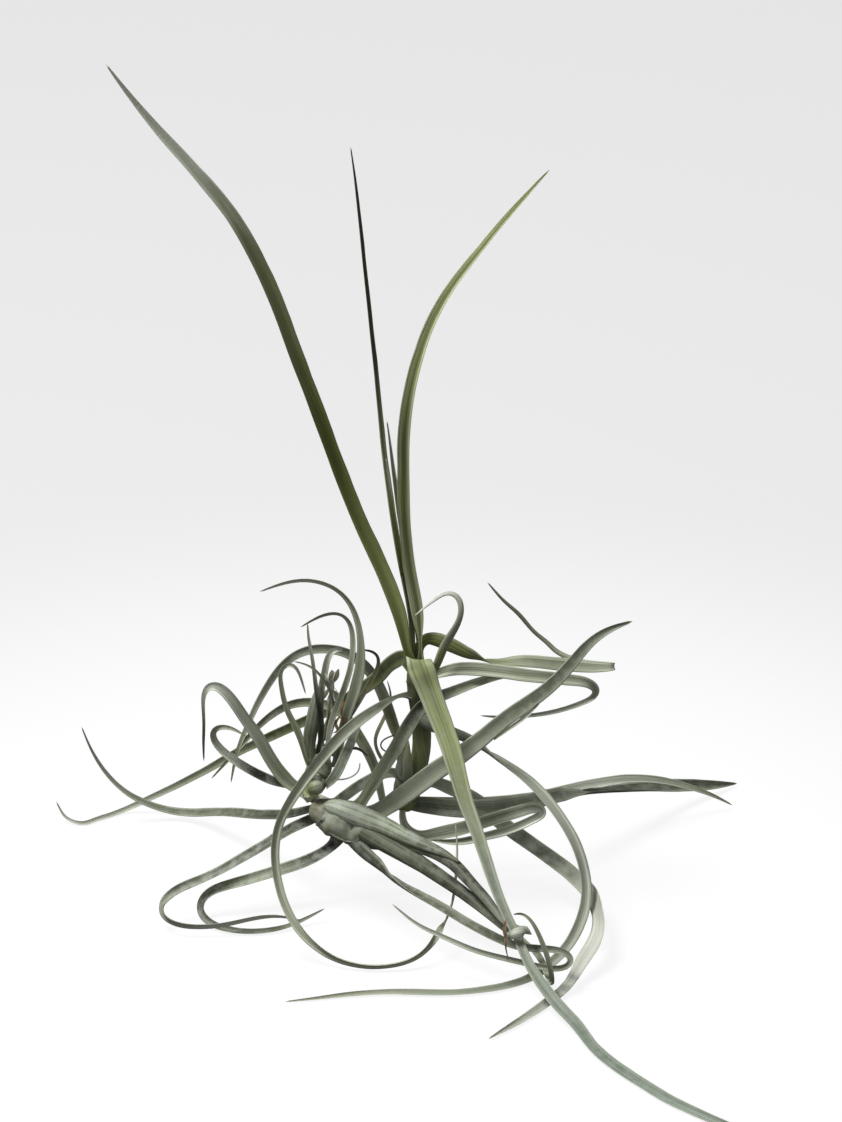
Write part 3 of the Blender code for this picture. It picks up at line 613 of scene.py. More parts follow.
blade("A_leaf_right_upper", [
    (0, 9.5, 127, 4), (-1, 11.5, 136, 5), (2.5, 11, 141, 6.4), (8, 9.5, 141.8, 7.8), (13, 8, 140.4, 7.8),
    (25, 6, 135, 7.4), (35, 4.5, 132, 7), (53, 3, 132.7, 6.6), (74.3, 3, 130.6, 7), (90.4, 3.5, 129.2, 5.6),
    (98.1, 4.2, 129.2, 3.6), (98.4, 5.8, 128.6, 3), (90.7, 8, 128.1, 2.8), (82.1, 9.5, 129, 2.8),
    (74.5, 11, 131, 2.8), (68.4, 13, 133.8, 2.6), (64.1, 14, 138, 2.4), (57.6, 14.5, 143.7, 2.1),
    (49, 15.5, 153.9, 2.1), (41.5, 16, 160.8, 1.6), (33.2, 16, 170.8, 0.6),
], {0: (0, 0.9, 0.3), 2: (0, 1, -0.1), 4: (0, 1, -0.1), 5: (0, 0.9, 0.3), 6: (0, 0.2, 1),
    7: (0, -0.7, 0.7), 9: (0, -0.8, 0.6), 10: (0.6, -0.8, 0.4), 11: (1, 0.3, -0.1), 12: (0, 0.8, -0.6)},
    [LEAF_GREEN, SAGE, MIST, GREY_GREEN], "leaf_pale",
    curl={0: 80, 2: 35, 3: 25, 6: 28, 9: 34, 10: 40, 12: 50, 15: 60, 18: 62, 20: 100}, soft=1.6,
    bands=0.7, under=0.4, edge=0.6, felted=0.1)

blade("A_leaf_right_lower", [
    (6.9, 4, 124.6, 4.6), (15, 3, 128, 6.2), (31, 0, 129.6, 6.8), (56.5, -3, 127.4, 6.6),
    (73, -5, 126.5, 6), (85, -5, 124.2, 5), (88.6, -3, 119.6, 3.8), (87, 0, 114, 3), (80, 3, 108.6, 2.7),
    (69, 6, 103, 2.4), (57, 9, 99, 2.1), (40, 12, 96.5, 1.5), (30, 13, 97, 0.6),
], {0: FRONT}, [MIST, SOFT_SAGE, FROST, FROST], "leaf_pale", under=0.1,
    curl={0: 80, 1: 45, 5: 50, 7: 60, 10: 62, 12: 100}, bands=0.7, edge=0.8, channel=0.5, felted=0.1)


# --- The hooked leaf ---
# A small leaf that curls over beside the end of the stem. It is dark at its base and dried pale
# towards its tip.

PALE_GREY = (0.455, 0.48, 0.395)
BONE = (0.63, 0.645, 0.56)

blade("A_leaf_hook", [
    (6.2, -0.2, 126.5, 4), (9.5, -2, 136, 5.6), (12, -1.5, 143, 5.8), (16, -1.5, 150.5, 5.2),
    (19.5, -1, 157.5, 4.4), (20.5, 0, 165.5, 3.6), (17.5, 2, 171, 3.2), (13, 2.5, 171.5, 2.8),
    (6, 1, 167.5, 2.2), (-4, -1.5, 159.5, 0.6),
], {0: (-0.6, 0.8, 0), 4: (-0.7, 0.6, -0.2), 6: (-0.3, 0.4, -0.8), 9: (0, -0.3, -1)},
    [OLIVE, GREY_GREEN, PALE_GREY, BONE], "leaf_dark", under=0.1, felted=0.1)


# --- The round loop ---
# A long leaf of even width that bends round in a big loop low in front, lies on the surface and
# rises again at its tip.

# The way a leaf's channel faces
LEFT = (-1, -0.3, 0.2)

blade("A_leaf_loop", [
    (-7.4, 3.5, 113.5, 3), (-20.5, -10, 113.5, 5), (-35.5, -22, 108, 6), (-49.5, -33, 97, 6),
    (-62, -43, 83.5, 5.5), (-71, -50, 69, 5), (-72.5, -60, 42.5, 4.5), (-62, -69, 19, 4.2),
    (-44.5, -76, 6, 4), (-21.5, -80, 2.8, 4), (0, -76, 7.4, 3.7), (11.5, -64, 18.5, 3.4),
    (17, -43, 26, 3), (18, -34, 34, 2.4), (18.5, -28, 44, 1.7), (17.5, -24, 54, 0.6),
], {0: (0, -0.3, 1), 3: (0.5, -0.8, 0.5), 9: (0.2, -0.8, -0.6), 13: LEFT},
    [GREY_GREEN, MIST, MIST, MIST], "leaf_sage", stem=STEM, reach=12, stand=0.15, wrap=110, soft=5,
    bands=0.6, felted=0.15)


# --- The leaf folded to the left ---
# A stiff olive leaf, folded over beside the stem. It slopes down behind the rest and reaches the
# surface far out at the back.

DARK_MOSS = (0.08, 0.1, 0.035)

blade("A_leaf_back_left", [
    (-3.5, 3, 126, 5), (-8.5, 7, 132.6, 7.6), (-14, 11, 128.3, 7.8), (-23, 18, 115, 7.2),
    (-35.5, 25, 102, 6.4), (-46, 32, 91.2, 5.6), (-68, 44, 73.8, 5.2), (-93.5, 60, 53, 4.6),
    (-118, 76, 30, 4), (-133, 85, 17, 3.6), (-148.5, 90, 6.6, 3.2), (-156, 90, 3, 3),
    (-170.5, 81, 1.8, 2.6), (-180.5, 75.5, 1.6, 2.2), (-188, 78, 3.5, 1.6), (-193.5, 80, 12.5, 0.6),
], {0: (-0.3, -0.9, 0.3), 2: (-0.2, -0.9, 0.5), 5: (0, -0.8, 0.6)}, [DARK_MOSS, DARK_MOSS, SAGE, FROST],
    "leaf_olive", soft=1.5, felted=0.1, edge=0.3, curl={0: 60, 1: 30, 3: 35, 6: 60, 13: 62, 15: 100})


# --- The narrow arch ---
# A thin arched leaf behind the small rosette, and the dry one beside it. Both leave the stem low
# down and are rolled into narrow gutters.

DEEP_GREY = (0.105, 0.115, 0.08)
PALE_SAGE = (0.415, 0.445, 0.335)
KHAKI = (0.21, 0.205, 0.13)
STRAW = (0.33, 0.33, 0.2)

# The way a leaf's channel faces
FRONT_LEFT = (-0.7, -0.8, 0.3)

blade("A_leaf_arch", [
    (-6.4, 14.8, 70.5, 4.6), (-14, 20, 88, 6.4), (-18, 24, 100, 6.4), (-25, 26, 115, 5.8),
    (-37, 25, 126.5, 5), (-50, 24, 130, 4.8), (-60, 23, 129, 4.6), (-70, 21, 122, 4.4),
    (-80, 19, 107, 4), (-87, 19, 92, 3.4), (-94.5, 20, 72, 2.4), (-98, 22, 53.5, 0.6),
], {0: (-0.5, -0.9, 0.2), 4: (-0.3, -0.9, 0.6), 8: FRONT_LEFT},
    [BARK_GREEN, GREY_GREEN, DEEP_GREY, PALE_SAGE], stem=STEM, soft=6, felted=0.1)

blade("A_leaf_dry", [
    (-8, 15.4, 58, 2.4), (-18, 26, 62, 3), (-24, 30, 72.5, 2.8), (-18, 32, 87.5, 2.6),
    (-15, 33, 97.5, 1.6), (-17.5, 32, 108, 0.6),
], {0: (-0.9, -0.5, 0)}, [KHAKI, KHAKI, STRAW, KHAKI], "leaf_dark", under=0.2, soft=4, felted=0)


# --- The leaves that swing round on the right ---
# Two long leaves that leave the stem to the right, bend down to the surface and come back along
# it. The upper one is narrow, the lower one broad and papery at its bend.

SILVER_FELT = (0.5, 0.54, 0.48)

# The way a leaf's channel faces
UP = (0, -0.6, 0.8)

blade("A_leaf_round_right", [
    (-3, 1.6, 104, 5), (2, 0.6, 99.5, 8.6), (9, 0.6, 95.4, 8.2), (18, 0.4, 92.5, 7), (25, 0, 89.6, 6.6),
    (38.5, -4, 81.5, 6.4), (49.5, -10, 76, 6.4), (62, -20, 68, 6.4), (75, -30, 53, 6.4),
    (80, -35, 43.5, 6.4), (83, -41, 33, 6.4), (83, -50, 24.5, 6.2), (80.5, -58, 17.5, 6),
    (76, -66, 10.5, 5.6), (67, -77, 5, 5),
    (57, -88, 2.2, 4.6), (37, -100, 2, 4), (17.5, -104, 2, 3.4), (2.5, -104, 2, 3.6),
    (-20.5, -104, 2, 2.8), (-38, -106, 1.5, 2.3), (-67.5, -112, 1.2, 0.6),
], {0: (-0.3, 1, 0), 2: (0, 1, 0.2), 4: (0, 0.9, 0.4), 5: (0, 0.3, 1), 7: (0.5, -0.6, 0.6),
    15: (0.5, -0.3, 1), 19: UP}, [LIGHT_SAGE, PALE_GREY, LIGHT_SAGE, PALE_SAGE],
    curl={0: 50, 2: 40, 4: 50, 18: 55, 21: 100}, under=0.1, soft=5, bands=0.4, felted=0.15, edge=0.6,
    channel=0.3)

blade("A_leaf_sweep_right", [
    (2.5, 10, 61.5, 5.6), (12, 12, 56.5, 7.5), (28, 15, 47, 8), (40.5, 14, 35, 8),
    (62, -2, 26.5, 8), (81, -28, 22.5, 8), (87, -40, 21.5, 8), (89.5, -55, 20, 8.4),
    (89.5, -68, 17, 8.8), (86, -78, 13.5, 8.4), (81, -86, 10, 7.2), (78, -92, 7, 6),
    (71.5, -103, 3.6, 5.2), (65, -111, 2.5, 4.8), (56.5, -122, 2, 4.4), (48.5, -132, 1.8, 3.6),
    (33, -149, 1.4, 0.6),
], {0: UP, 5: (-0.2, -0.6, 0.8), 7: (-0.6, -0.7, 0.3), 13: UP}, [SOFT_SAGE, GREY_GREEN, BONE, PALE_GREY],
    stem=STEM, reach=12, soft=5, bands=0.2, felted=0.35, silver=SILVER_FELT,
    curl={0: 80, 3: 40, 14: 45, 16: 100}, edge=0.6, channel=0.2, under=0.15)


# --- The far right leaves ---
# The broad leaf that runs straight out to the far right, and the thin one that lies along its
# upper side.

blade("A_leaf_far_right", [
    (-10, 14, 46, 5), (-2, 10.5, 47.2, 8.4), (10, 6, 47.8, 9.4), (33, 2, 48.8, 9.5),
    (50, 6, 49.5, 9), (72, 28, 43.5, 8.8), (88, 47, 35.5, 9), (114, 75, 23, 8.8), (135, 95, 13.5, 7.6),
    (157.5, 112, 5, 5), (170, 121, 1.6, 0.7),
], {0: FRONT, 5: (0, -0.7, 0.7), 6: (0, 0.4, 1), 7: (0, -0.2, 1), 8: (0, -0.7, 0.7)},
    [GREY_GREEN, GREY_GREEN, DARK_GREEN_AND_SHADE, GREY_GREEN], curl={0: 80, 1: 50, 4: 42, 6: 42, 8: 60, 10: 100},
    soft=8, felted=0.25, edge=0.5, channel=0.5, under=0.8)

blade("A_strand_far_right", [
    (-4.2, 16.5, 47, 3), (18, 24, 42, 3.5), (48, 30, 40, 4), (72, 42, 38.4, 4.8),
    (88.5, 53, 36.6, 5), (101, 61, 34.6, 5), (117.5, 71, 30.6, 4.8), (130, 79.5, 24.4, 4.2),
    (143, 86, 17.5, 3.4), (153.5, 90, 11.5, 2.4), (166, 94, 2.5, 0.6),
], {0: UP}, [SOFT_SAGE, PALE_GREY, FROST, PALE_SAGE], soft=8, felted=0.2, edge=0.3)


# --- The short loop and the leaf that turns back ---
# A short pale leaf doubled back on itself, and the long one to the lower left that turns round
# near its end. Both start low down on the stem.

SHADOW_GREEN = (0.15, 0.165, 0.11)
WHITE_FELT = (0.58, 0.62, 0.55)

blade("A_leaf_short_loop", [
    (-9.5, 6.4, 46, 3), (-9, 1.5, 40.5, 4), (-3, -3.5, 36.5, 5.5), (12, -8, 40.5, 7.4), (32.5, -10, 47.5, 7),
    (50.5, -9, 53, 6.4), (60, -8, 55, 5.4), (62.5, -11, 53.5, 4.8), (58, -15, 52.5, 4.6),
    (43, -17, 46, 4.6), (33.5, -18, 44, 4.4), (17.5, -17, 40, 3.4), (4.5, -14, 39.5, 0.6),
], {0: FRONT, 3: UP, 8: FRONT}, [PALE_SAGE, SHADOW_GREEN, FROST, PALE_SAGE], "leaf_pale", bands=0.8,
    edge=0.9, channel=0.5, felted=0.1)

blade("A_leaf_left_return", [
    (-8.1, 6.6, 64, 3.8), (-12, 6, 68.5, 5.5), (-25, 6, 64.5, 6), (-41.5, 3, 53.5, 6),
    (-54, -1, 45, 6), (-65, -6, 42.5, 6), (-76, -11, 37.5, 5.8), (-89, -16, 31.5, 5.5),
    (-105, -21, 24, 5), (-114.5, -24, 21, 4.8), (-126.5, -30, 18.5, 4.5), (-131.5, -35, 15, 4.2),
    (-134, -39, 12, 4), (-130.5, -42, 9, 3.8), (-124, -44, 7, 3.6), (-115, -45, 6.5, 3.4),
    (-97, -44, 7.5, 3), (-86, -42, 9.5, 2.8), (-72, -40, 10, 2.2), (-61.5, -41, 8, 0.6),
], {0: UP, 8: (-0.6, -0.6, 0.6), 11: (-0.6, -0.9, -0.3)}, [SHADOW_GREEN, DEEP_GREY, GREY_GREEN, FROST],
    stem=STEM, reach=12, soft=6, bands=0.4, felted=0.4, silver=WHITE_FELT, edge=0.3, channel=0, under=0)


# --- The side shoot ---
# A bud of tight leaves that grew on the left of the stem. It is olive under a thin silvery felt and
# stands pressed against the stem.

stalk("A_pup", [
    (-13.6, 1.2, 57.4, 0.8), (-11.6, 1.8, 60.5, 2.8), (-9.6, 2.6, 67, 3.6), (-9.1, 3, 74, 4),
    (-8.8, 3.2, 80, 3.3), (-7.9, 3.5, 86, 1.9), (-7.2, 4, 92, 0.3),
], [SHADOW_GREEN, GREY_GREEN, GREY_GREEN, OLIVE], "leaf_olive", lumps=0.08, bands=0.6, felted=0.5,
    silver=(0.4, 0.44, 0.34))

# Its outer leaf wraps the bud and hugs the stem with a pale margin
blade("", [
    (-6.6, 1.4, 60, 3), (-6.2, 0.4, 67, 6), (-6.4, -0.2, 74, 6.4), (-6.6, 0.2, 81, 4.4),
    (-6.4, 1.6, 88, 0.8),
], {0: (-0.6, 0.8, 0)}, [LIGHT_SAGE, LIGHT_GREEN], "leaf_olive", name="bud_scale", soft=1.5, bands=0.25,
    felted=0.5, edge=0.7, channel=0.2, under=0.1)


# --- The silver bulb ---
# The bulb of the second rosette lies in front of the stem. It is made of swollen leaf bases,
# knobby and covered in a dense silver felt.

BULB = [
    (-57, -9.7, 56.4, 2.5), (-55, -10.2, 55.8, 4.6), (-48, -12, 53.5, 8.5), (-38, -15.4, 51, 10.5),
    (-28, -19, 48.8, 9.2), (-18, -24, 45.5, 6.4), (-8, -29, 42, 2.4),
]

stalk("B_bulb", BULB, [KHAKI, SOFT_SAGE, SOFT_SAGE, LIGHT_SAGE], "leaf_silver", lumps=0.05,
    felted=0.5, bands=0.35, silver=SILVER_FELT)

# The torn lip of an old leaf base curls up along the lower side of the bulb
blade("", [
    (-52.7, -17, 55.6, 1), (-49.7, -19.6, 51.2, 1.8), (-44.5, -22.2, 48, 2.2), (-37.9, -24.8, 45.8, 2.4),
    (-33.6, -27, 46.6, 2), (-30.6, -28, 48.6, 0.8),
], {0: (0, -0.6, 0.8), 3: (-0.3, -0.9, 0.3)}, [LIGHT_SAGE, PALE_SAGE], "leaf_silver", name="bulb_lip",
    soft=1.5, bands=0.3, felted=0.4)

# The outermost leaf base lies over the bulb like a scale and ends in a point on the front leaves
blade("", [
    (-50.5, -14, 59.5, 1.5), (-47, -16.8, 61.4, 7.6), (-40, -20, 61, 11), (-32, -22.8, 59.4, 12),
    (-25, -25, 57.4, 11), (-17, -28.6, 55.4, 9.4), (-8, -33.4, 52.6, 8), (3, -39, 50, 6.2),
    (12, -44, 48, 4), (20, -49.5, 45.4, 0.8),
], {0: (0, 0.6, -0.8)}, [LIGHT_SAGE, SAGE, SHADOW_GREEN], "leaf_silver",
    curl={0: 60, 2: 70, 7: 70, 9: 60}, name="bulb_scale", soft=2.5, thick=0.1, bands=0.6, felted=0.45,
    silver=SILVER_FELT, edge=0.6, under=0)


# --- The leaves that cross the stem ---
# The widest leaf of the bulb runs up to the right across the stem, and a narrower one stands
# up behind it. Both clasp the bulb at their bases.

PALE_GREEN = (0.455, 0.5, 0.335)

blade("B_leaf_wide", [
    (-25, -9, 51, 6), (-19.5, -8, 54.5, 9), (-10.5, -8, 61, 10), (9.5, -9, 78, 10),
    (22.5, -10, 88, 9.2), (36, -11, 101, 8.2), (46, -12, 111, 7.8), (59, -12, 120.4, 7.2),
    (74, -12, 136, 6.2), (83, -11, 148.2, 5), (91.5, -10, 155.8, 4), (99, -9, 158.6, 2.8),
    (106, -8, 160.6, 1),
], {0: FRONT}, [PALE_SAGE, PALE_SAGE, GREY_GREEN, GREY_GREEN],
    curl={0: 80, 2: 40, 8: 40, 10: 60, 12: 100}, stem=BULB, soft=8, bands=0.25, felted=0.6,
    silver=DULL_FELT, under=0.1, edge=0.5, channel=0.25)

# A thin pale strip has split off along its lower edge
blade("", [
    (36.8, -14.5, 97.2, 1), (44.2, -14.8, 103.4, 1.8), (52.6, -14.6, 110, 2), (60.5, -13, 118.2, 1.2),
], {0: FRONT}, [PALE_SAGE, FROST], name="split_edge", soft=2, felted=0.1)

blade("B_leaf_up", [
    (-31, -7.9, 55.7, 4.6), (-26, -8, 65, 7), (-18, -7, 79, 7), (-10.5, -7, 93, 7.2),
    (-3.4, -6, 106.5, 7), (3.5, -6, 115, 6.4), (13, -4, 117.5, 5.6), (23.5, -1, 121, 4.8),
    (38.5, 5, 123, 3.4), (50, 8, 123, 0.7),
], {0: FRONT_LEFT, 4: FRONT}, [PALE_GREEN, SAGE, DARK_GREEN_AND_SHADE, PALE_GREEN], stem=BULB, reach=10, soft=6,
    bands=0.7, edge=0.6)


# --- The leaves out to the left ---
# Two leaves of the bulb that lie out to the left. One turns back along the surface, the other runs
# far back and rises at its tip.

# Near black, which is painted deep shade where a leaf lies among others
NEAR_BLACK_SHADE = (0.03, 0.032, 0.02)

blade("B_leaf_ground_left", [
    (-40, -13, 40.7, 5), (-50.5, -13, 31, 6.5), (-62, -15, 26, 6.4), (-72, -17, 23.5, 6.2),
    (-86.5, -20, 20, 6), (-100, -21, 16.5, 5.4), (-109.5, -22, 14, 5), (-114, -24, 10, 4.6),
    (-114, -29, 6, 4.2), (-110.5, -34, 3, 3.8), (-100, -40, 2, 3.4), (-88.5, -43.5, 2, 3.2),
    (-80.5, -43, 2, 3), (-67, -37, 2, 2.6), (-61, -33, 3, 2.2), (-49, -28, 7.5, 0.6),
], {0: UP, 8: (-0.6, -0.6, 0.6), 11: (0, -0.6, 1)}, [NEAR_BLACK_SHADE, SAGE, DEEP_GREY, GREY_GREEN], stem=BULB,
    reach=12, soft=8, bands=0.4, felted=0.4, silver=WHITE_FELT, edge=0.3, channel=0, under=0)

blade("B_leaf_long_left", [
    (-56.5, -7.1, 53.5, 4.6), (-67.5, 8, 42.2, 6.2), (-89, 40, 25.7, 6), (-105.5, 62, 15.5, 5.6),
    (-127, 84, 2.8, 5), (-140.5, 81, 7, 4.4), (-149.5, 79, 12.5, 3.8), (-158.5, 77, 20.5, 3),
    (-165.5, 75, 30, 2.4), (-172.5, 73, 43.5, 1.6), (-178, 70, 62, 0.6),
], {0: UP, 4: (-0.3, -0.5, 1)}, [DARK_GREEN_AND_SHADE, SHADOW_GREEN, SAGE, FROST], soft=12, bands=0.6)


# --- The three leaves in front ---
# Three leaves that run off the end of the bulb to the front right, where their thin ends tangle
# round the front leaf.

# The way a leaf's channel faces
FRONT_RIGHT = (0.7, -0.8, 0.3)

blade("B_leaf_front_1", [
    (-48, -12, 54, 3), (-39, -15.2, 54.4, 8.6), (-26, -21, 54, 11.5), (-15, -27.5, 51, 10.5),
    (-4, -33.5, 48.5, 9), (9, -40, 46, 7.6), (17, -47, 44, 7), (25, -57, 39, 6.4),
    (33, -68, 35.5, 5.4), (38, -76, 31.5, 4.6), (43.5, -81, 27, 3.6), (50, -84, 25.5, 3.4),
    (55.5, -90, 28.7, 4.6), (51.5, -95, 32, 6), (46.5, -97, 31.5, 6.4), (41, -93, 27, 2),
], {0: (0, 0.5, -1), 9: (0, 0.3, -1), 12: (0.8, 0.4, 0.3), 14: (0, 0.8, -0.6)},
    [SOFT_SAGE, DARK_GREEN_AND_SHADE, DARK_GREEN_AND_SHADE, FROST], "leaf_silver", soft=5, felted=0.35, silver=DULL_FELT, under=0.1,
    curl={0: 60, 2: 80, 5: 75, 11: 62, 13: 40, 15: 80})

blade("B_leaf_front_2", [
    (-45.5, -14.5, 52, 3), (-36, -22, 53.5, 9), (-22, -28.5, 49.5, 11), (-10.8, -34.5, 45, 9.6),
    (1.5, -42, 40.2, 8), (16.7, -53, 34.2, 7), (29.6, -63, 28.6, 6),
    (37, -69, 25, 5.2), (41.5, -73, 22, 4.4), (50, -79, 18.5, 4), (57, -84, 15, 3.6),
    (61, -93, 11.5, 3.2), (63, -101, 8.8, 2.8), (64.8, -108, 8.2, 2.6), (65, -112, 13, 2.6),
    (64, -112, 20, 2.6), (61.3, -109, 28.5, 2.6), (58.9, -106, 33.4, 2.4), (55.4, -102, 40.4, 1.8),
    (52.5, -99, 43.2, 1.6), (49, -96, 43.3, 1.3), (45.6, -93, 40, 0.6),
], {0: (0, 0.7, -0.7), 7: (0, 0.7, -0.7), 12: FRONT}, [SHADOW_GREEN, DARK_GREEN_AND_SHADE, MIST, GREY_GREEN],
    "leaf_dark", soft=5, bands=0.6, felted=0.35, silver=DULL_FELT, under=0.1,
    curl={0: 60, 2: 80, 5: 75, 19: 62, 20: 100})

blade("B_leaf_front_3", [
    (-44, -19, 50, 6), (-36, -23.5, 45, 9), (-29, -29.5, 40, 9.5), (-20.5, -37.5, 37.6, 8.4),
    (-15, -46, 35.6, 7), (-4, -56, 32.5, 5.8), (9, -68, 31, 5.4), (25.5, -82, 27.5, 4.8), (39, -87, 23, 4.4),
    (48.5, -88, 19, 4), (62, -93, 20.5, 3.6), (69, -96, 21.5, 3.3), (75, -99, 20, 3.2),
    (76, -101, 18.5, 3.1), (74, -103, 16, 3), (65.5, -104, 15.5, 3), (54, -97, 14, 3),
    (40.5, -95, 16.5, 2.9), (25.5, -93, 20, 2.7), (10, -86, 24, 2.5), (-1.5, -82, 28, 1.8),
    (-14.5, -77, 37.4, 0.6),
], {0: (0, 0.8, 0.3), 3: (0.2, 0.8, 0.3), 6: (0.3, -0.5, 0.8), 9: FRONT},
    [DEEP_GREY, SHADOW_GREEN, GREY_GREEN, PALE_GREY], soft=5, bands=0.6, felted=0.35,
    curl={0: 50, 2: 70, 5: 62, 20: 62, 22: 100})

# A dry brown scrap of an old leaf hangs in the tangle, with a thread under it
SCRAP = [(0.36, 0.25, 0.17), (0.43, 0.31, 0.22)]
blade("", [
    (42.5, -95, 38, 0.9), (41.4, -96.5, 33, 2), (42.8, -97, 28.5, 2.2), (42, -97, 24, 1.1),
    (43, -97, 19, 0.6), (43.5, -96, 14.5, 0.4),
], {0: FRONT, 2: FRONT_LEFT, 3: FRONT_RIGHT}, SCRAP, "dry_brown", name="dry_scrap", soft=1.5, bands=0.6,
    felted=0)


# --- The small old shoot ---
# The small bulb of the third rosette, yellow green under its dry sheaths, and the woody, bleached
# runner that joins it to the foot of the stem.

BLEACHED = (0.78, 0.79, 0.74)

OLD_BULB = [
    (-56.3, -8.8, 60.1, 2.4), (-56.2, -7.8, 62.5, 3.8), (-54, -6, 69, 6.5), (-52, -5, 75, 6.5),
    (-51, -4.5, 83, 5), (-50.5, -4, 88, 4), (-50.5, -4, 89, 3),
]

stalk("C_bulb", OLD_BULB, [LIME, DARK_GREEN_AND_SHADE, SAGE, PALE_SAGE], "leaf_pale", lumps=0.04, felted=0.35, bands=0.6)

# A rounded yellow-green bud sits on the foot of the bulb
stalk("", [
    (-57.5, -12, 66.5, 1.5), (-55.5, -12.5, 68, 3.4), (-52, -13, 70, 3.5), (-49.5, -13, 71, 1.5),
], [OLIVE, SAGE], "leaf_pale", name="foot_bud", lumps=0.05)

stalk("C_rootstock", [
    (-13.7, 12.3, 46.3, 2.4), (-26, 14, 41.2, 3.2), (-40, 13, 42.6, 3), (-52, 8, 51, 2.8),
    (-58, -1, 58.5, 2.4), (-57.8, -4.3, 60.8, 2),
], [BLEACHED, BLEACHED, BONE, PALE_SAGE], "dry_brown", lumps=0.1, felted=0.1, bands=0.6)


# --- The low arch ---
# A narrow, rolled leaf that grows from the runner. It arches over low down behind the small rosette
# and ends above the surface.

blade("C_leaf_low_arch", [
    (-19.3, 15, 46.6, 4), (-23, 20, 63, 5.8), (-28, 22, 74, 6), (-33, 23, 82, 5.8),
    (-39, 24, 92, 5.2), (-47.5, 24, 97.5, 5), (-58.5, 24, 99.5, 4.6), (-67, 25, 97.5, 4.2),
    (-77, 26, 90.5, 3.8), (-83.5, 27, 84, 3.2), (-94.5, 29, 69, 2.4), (-108.5, 31, 51, 0.6),
], {0: FRONT_LEFT, 4: (-0.2, -0.9, 0.5)}, [SHADOW_GREEN, LIGHT_GREEN, DEEP_GREY, SOFT_SAGE], soft=6)


# --- The hooked leaves on the left ---
# Two leaves of the small shoot that reach out to the left and hook over at their ends. The outer
# one is broad and silvery, the inner one thin and dark.

blade("C_leaf_hook_outer", [
    (-61.6, -8.8, 65, 5), (-66.5, -10, 69, 7), (-75.5, -13, 83.5, 7), (-82, -16, 99, 6.5),
    (-88.5, -18, 110, 6), (-94.5, -20, 121.5, 5.6), (-100.5, -20, 129, 5), (-105.2, -20, 132, 4.2),
    (-108.3, -20, 128.5, 3.2), (-109.5, -20, 121.5, 2.6), (-109, -21, 113, 2.2), (-109.5, -22, 99.5, 1.7),
    (-109.5, -23, 89, 0.6),
], {0: (0.4, -0.8, 0.5), 6: (0, -0.8, 0.6), 9: (-0.7, -0.7, 0)}, [PALE_GREEN, MIST, FROST, DARK_GREEN_AND_SHADE],
    "leaf_silver", stem=OLD_BULB, reach=8, soft=5, bands=0.6, felted=0.4, silver=SILVER_FELT, edge=0.5,
    channel=0.2, under=0)

blade("C_leaf_hook_inner", [
    (-60.3, -4.6, 64.2, 4), (-72.5, -3, 66, 5), (-81.5, -2, 70, 5), (-88.5, -1, 74, 4.8),
    (-100.5, 0, 82.5, 4.2), (-105, 0, 88, 3.8), (-107, 0, 93.5, 3.4), (-105.5, -1, 97.5, 3),
    (-100, -2, 98.5, 2.6), (-95, -4, 98.5, 2), (-89, -6, 95, 0.6),
], {0: UP, 6: (0.3, -0.8, 0.3)}, [NEAR_BLACK_SHADE, NEAR_BLACK_SHADE, FROST, SOFT_SAGE], stem=OLD_BULB, reach=4, soft=5,
    bands=0.6)


# --- The upright leaves of the small shoot ---
# Seven slender leaves that stand up from the small bulb and curl over at their tips, some of them
# near black over much of their length, which is painted shade deep in the tangle.

blade("C_leaf_loop", [
    (-57.2, -9.5, 80, 3.2), (-61, -10, 95.5, 4), (-68.5, -12, 115, 3.2), (-70.5, -13, 127, 2.8),
    (-71, -13, 135, 2.5), (-68, -13, 139.5, 2.3), (-64, -12, 138.5, 2), (-60.5, -11, 130, 1.5),
    (-58, -10, 120.5, 0.6),
], {0: FRONT_RIGHT}, [PALE_GREEN, PALE_GREEN, MIST, FROST], stem=OLD_BULB, reach=10, soft=4, bands=0.6)

blade("C_leaf_thin", [
    (-52.5, -9.5, 86.3, 2.4), (-49.8, -9.3, 100, 2.8), (-52.5, -9, 120, 2.4), (-54, -8, 135, 2),
    (-56, -7, 146.5, 1.6), (-57.5, -6, 154.5, 1.3), (-57, -6, 159, 0.6),
], {0: FRONT}, [NEAR_BLACK_SHADE, NEAR_BLACK_SHADE, LIGHT_SAGE, FROST], "leaf_dark", soft=6)

blade("C_leaf_tall_outer", [
    (-43.8, -6.4, 77, 3.6), (-38.5, -8, 105, 5), (-33, -9, 122.5, 5.8), (-30, -9, 134.5, 6),
    (-29.6, -9, 145, 4.2), (-30.8, -8, 158, 3.6), (-35.5, -7, 171.5, 3.5), (-41.5, -6, 178, 3.2),
    (-50.5, -5, 181.5, 2.8), (-60.5, -4, 182, 2.3), (-70.5, -3, 179, 1.7), (-81, -2, 174, 0.6),
], {0: FRONT, 6: (-0.5, -0.8, -0.3)}, [SAGE, MIST, PALE_SAGE, FROST], soft=8, bands=0.6)

blade("C_leaf_tall_inner", [
    (-46.9, -10.4, 81.5, 2.8), (-46, -12, 102.5, 3.5), (-39, -13, 123, 3.5), (-35.5, -13, 135, 3.4),
    (-34, -13, 149.5, 3.2), (-34.5, -13, 160.5, 3), (-38, -13, 167.5, 2.6), (-43, -13, 168.5, 2.2),
    (-50.5, -13, 166, 1.6), (-60.5, -13, 159.5, 0.6),
], {0: FRONT_LEFT, 5: (-0.5, -0.8, -0.3)}, [PALE_GREY, SHADOW_GREEN, MIST, LIGHT_SAGE], soft=6,
    bands=0.6)

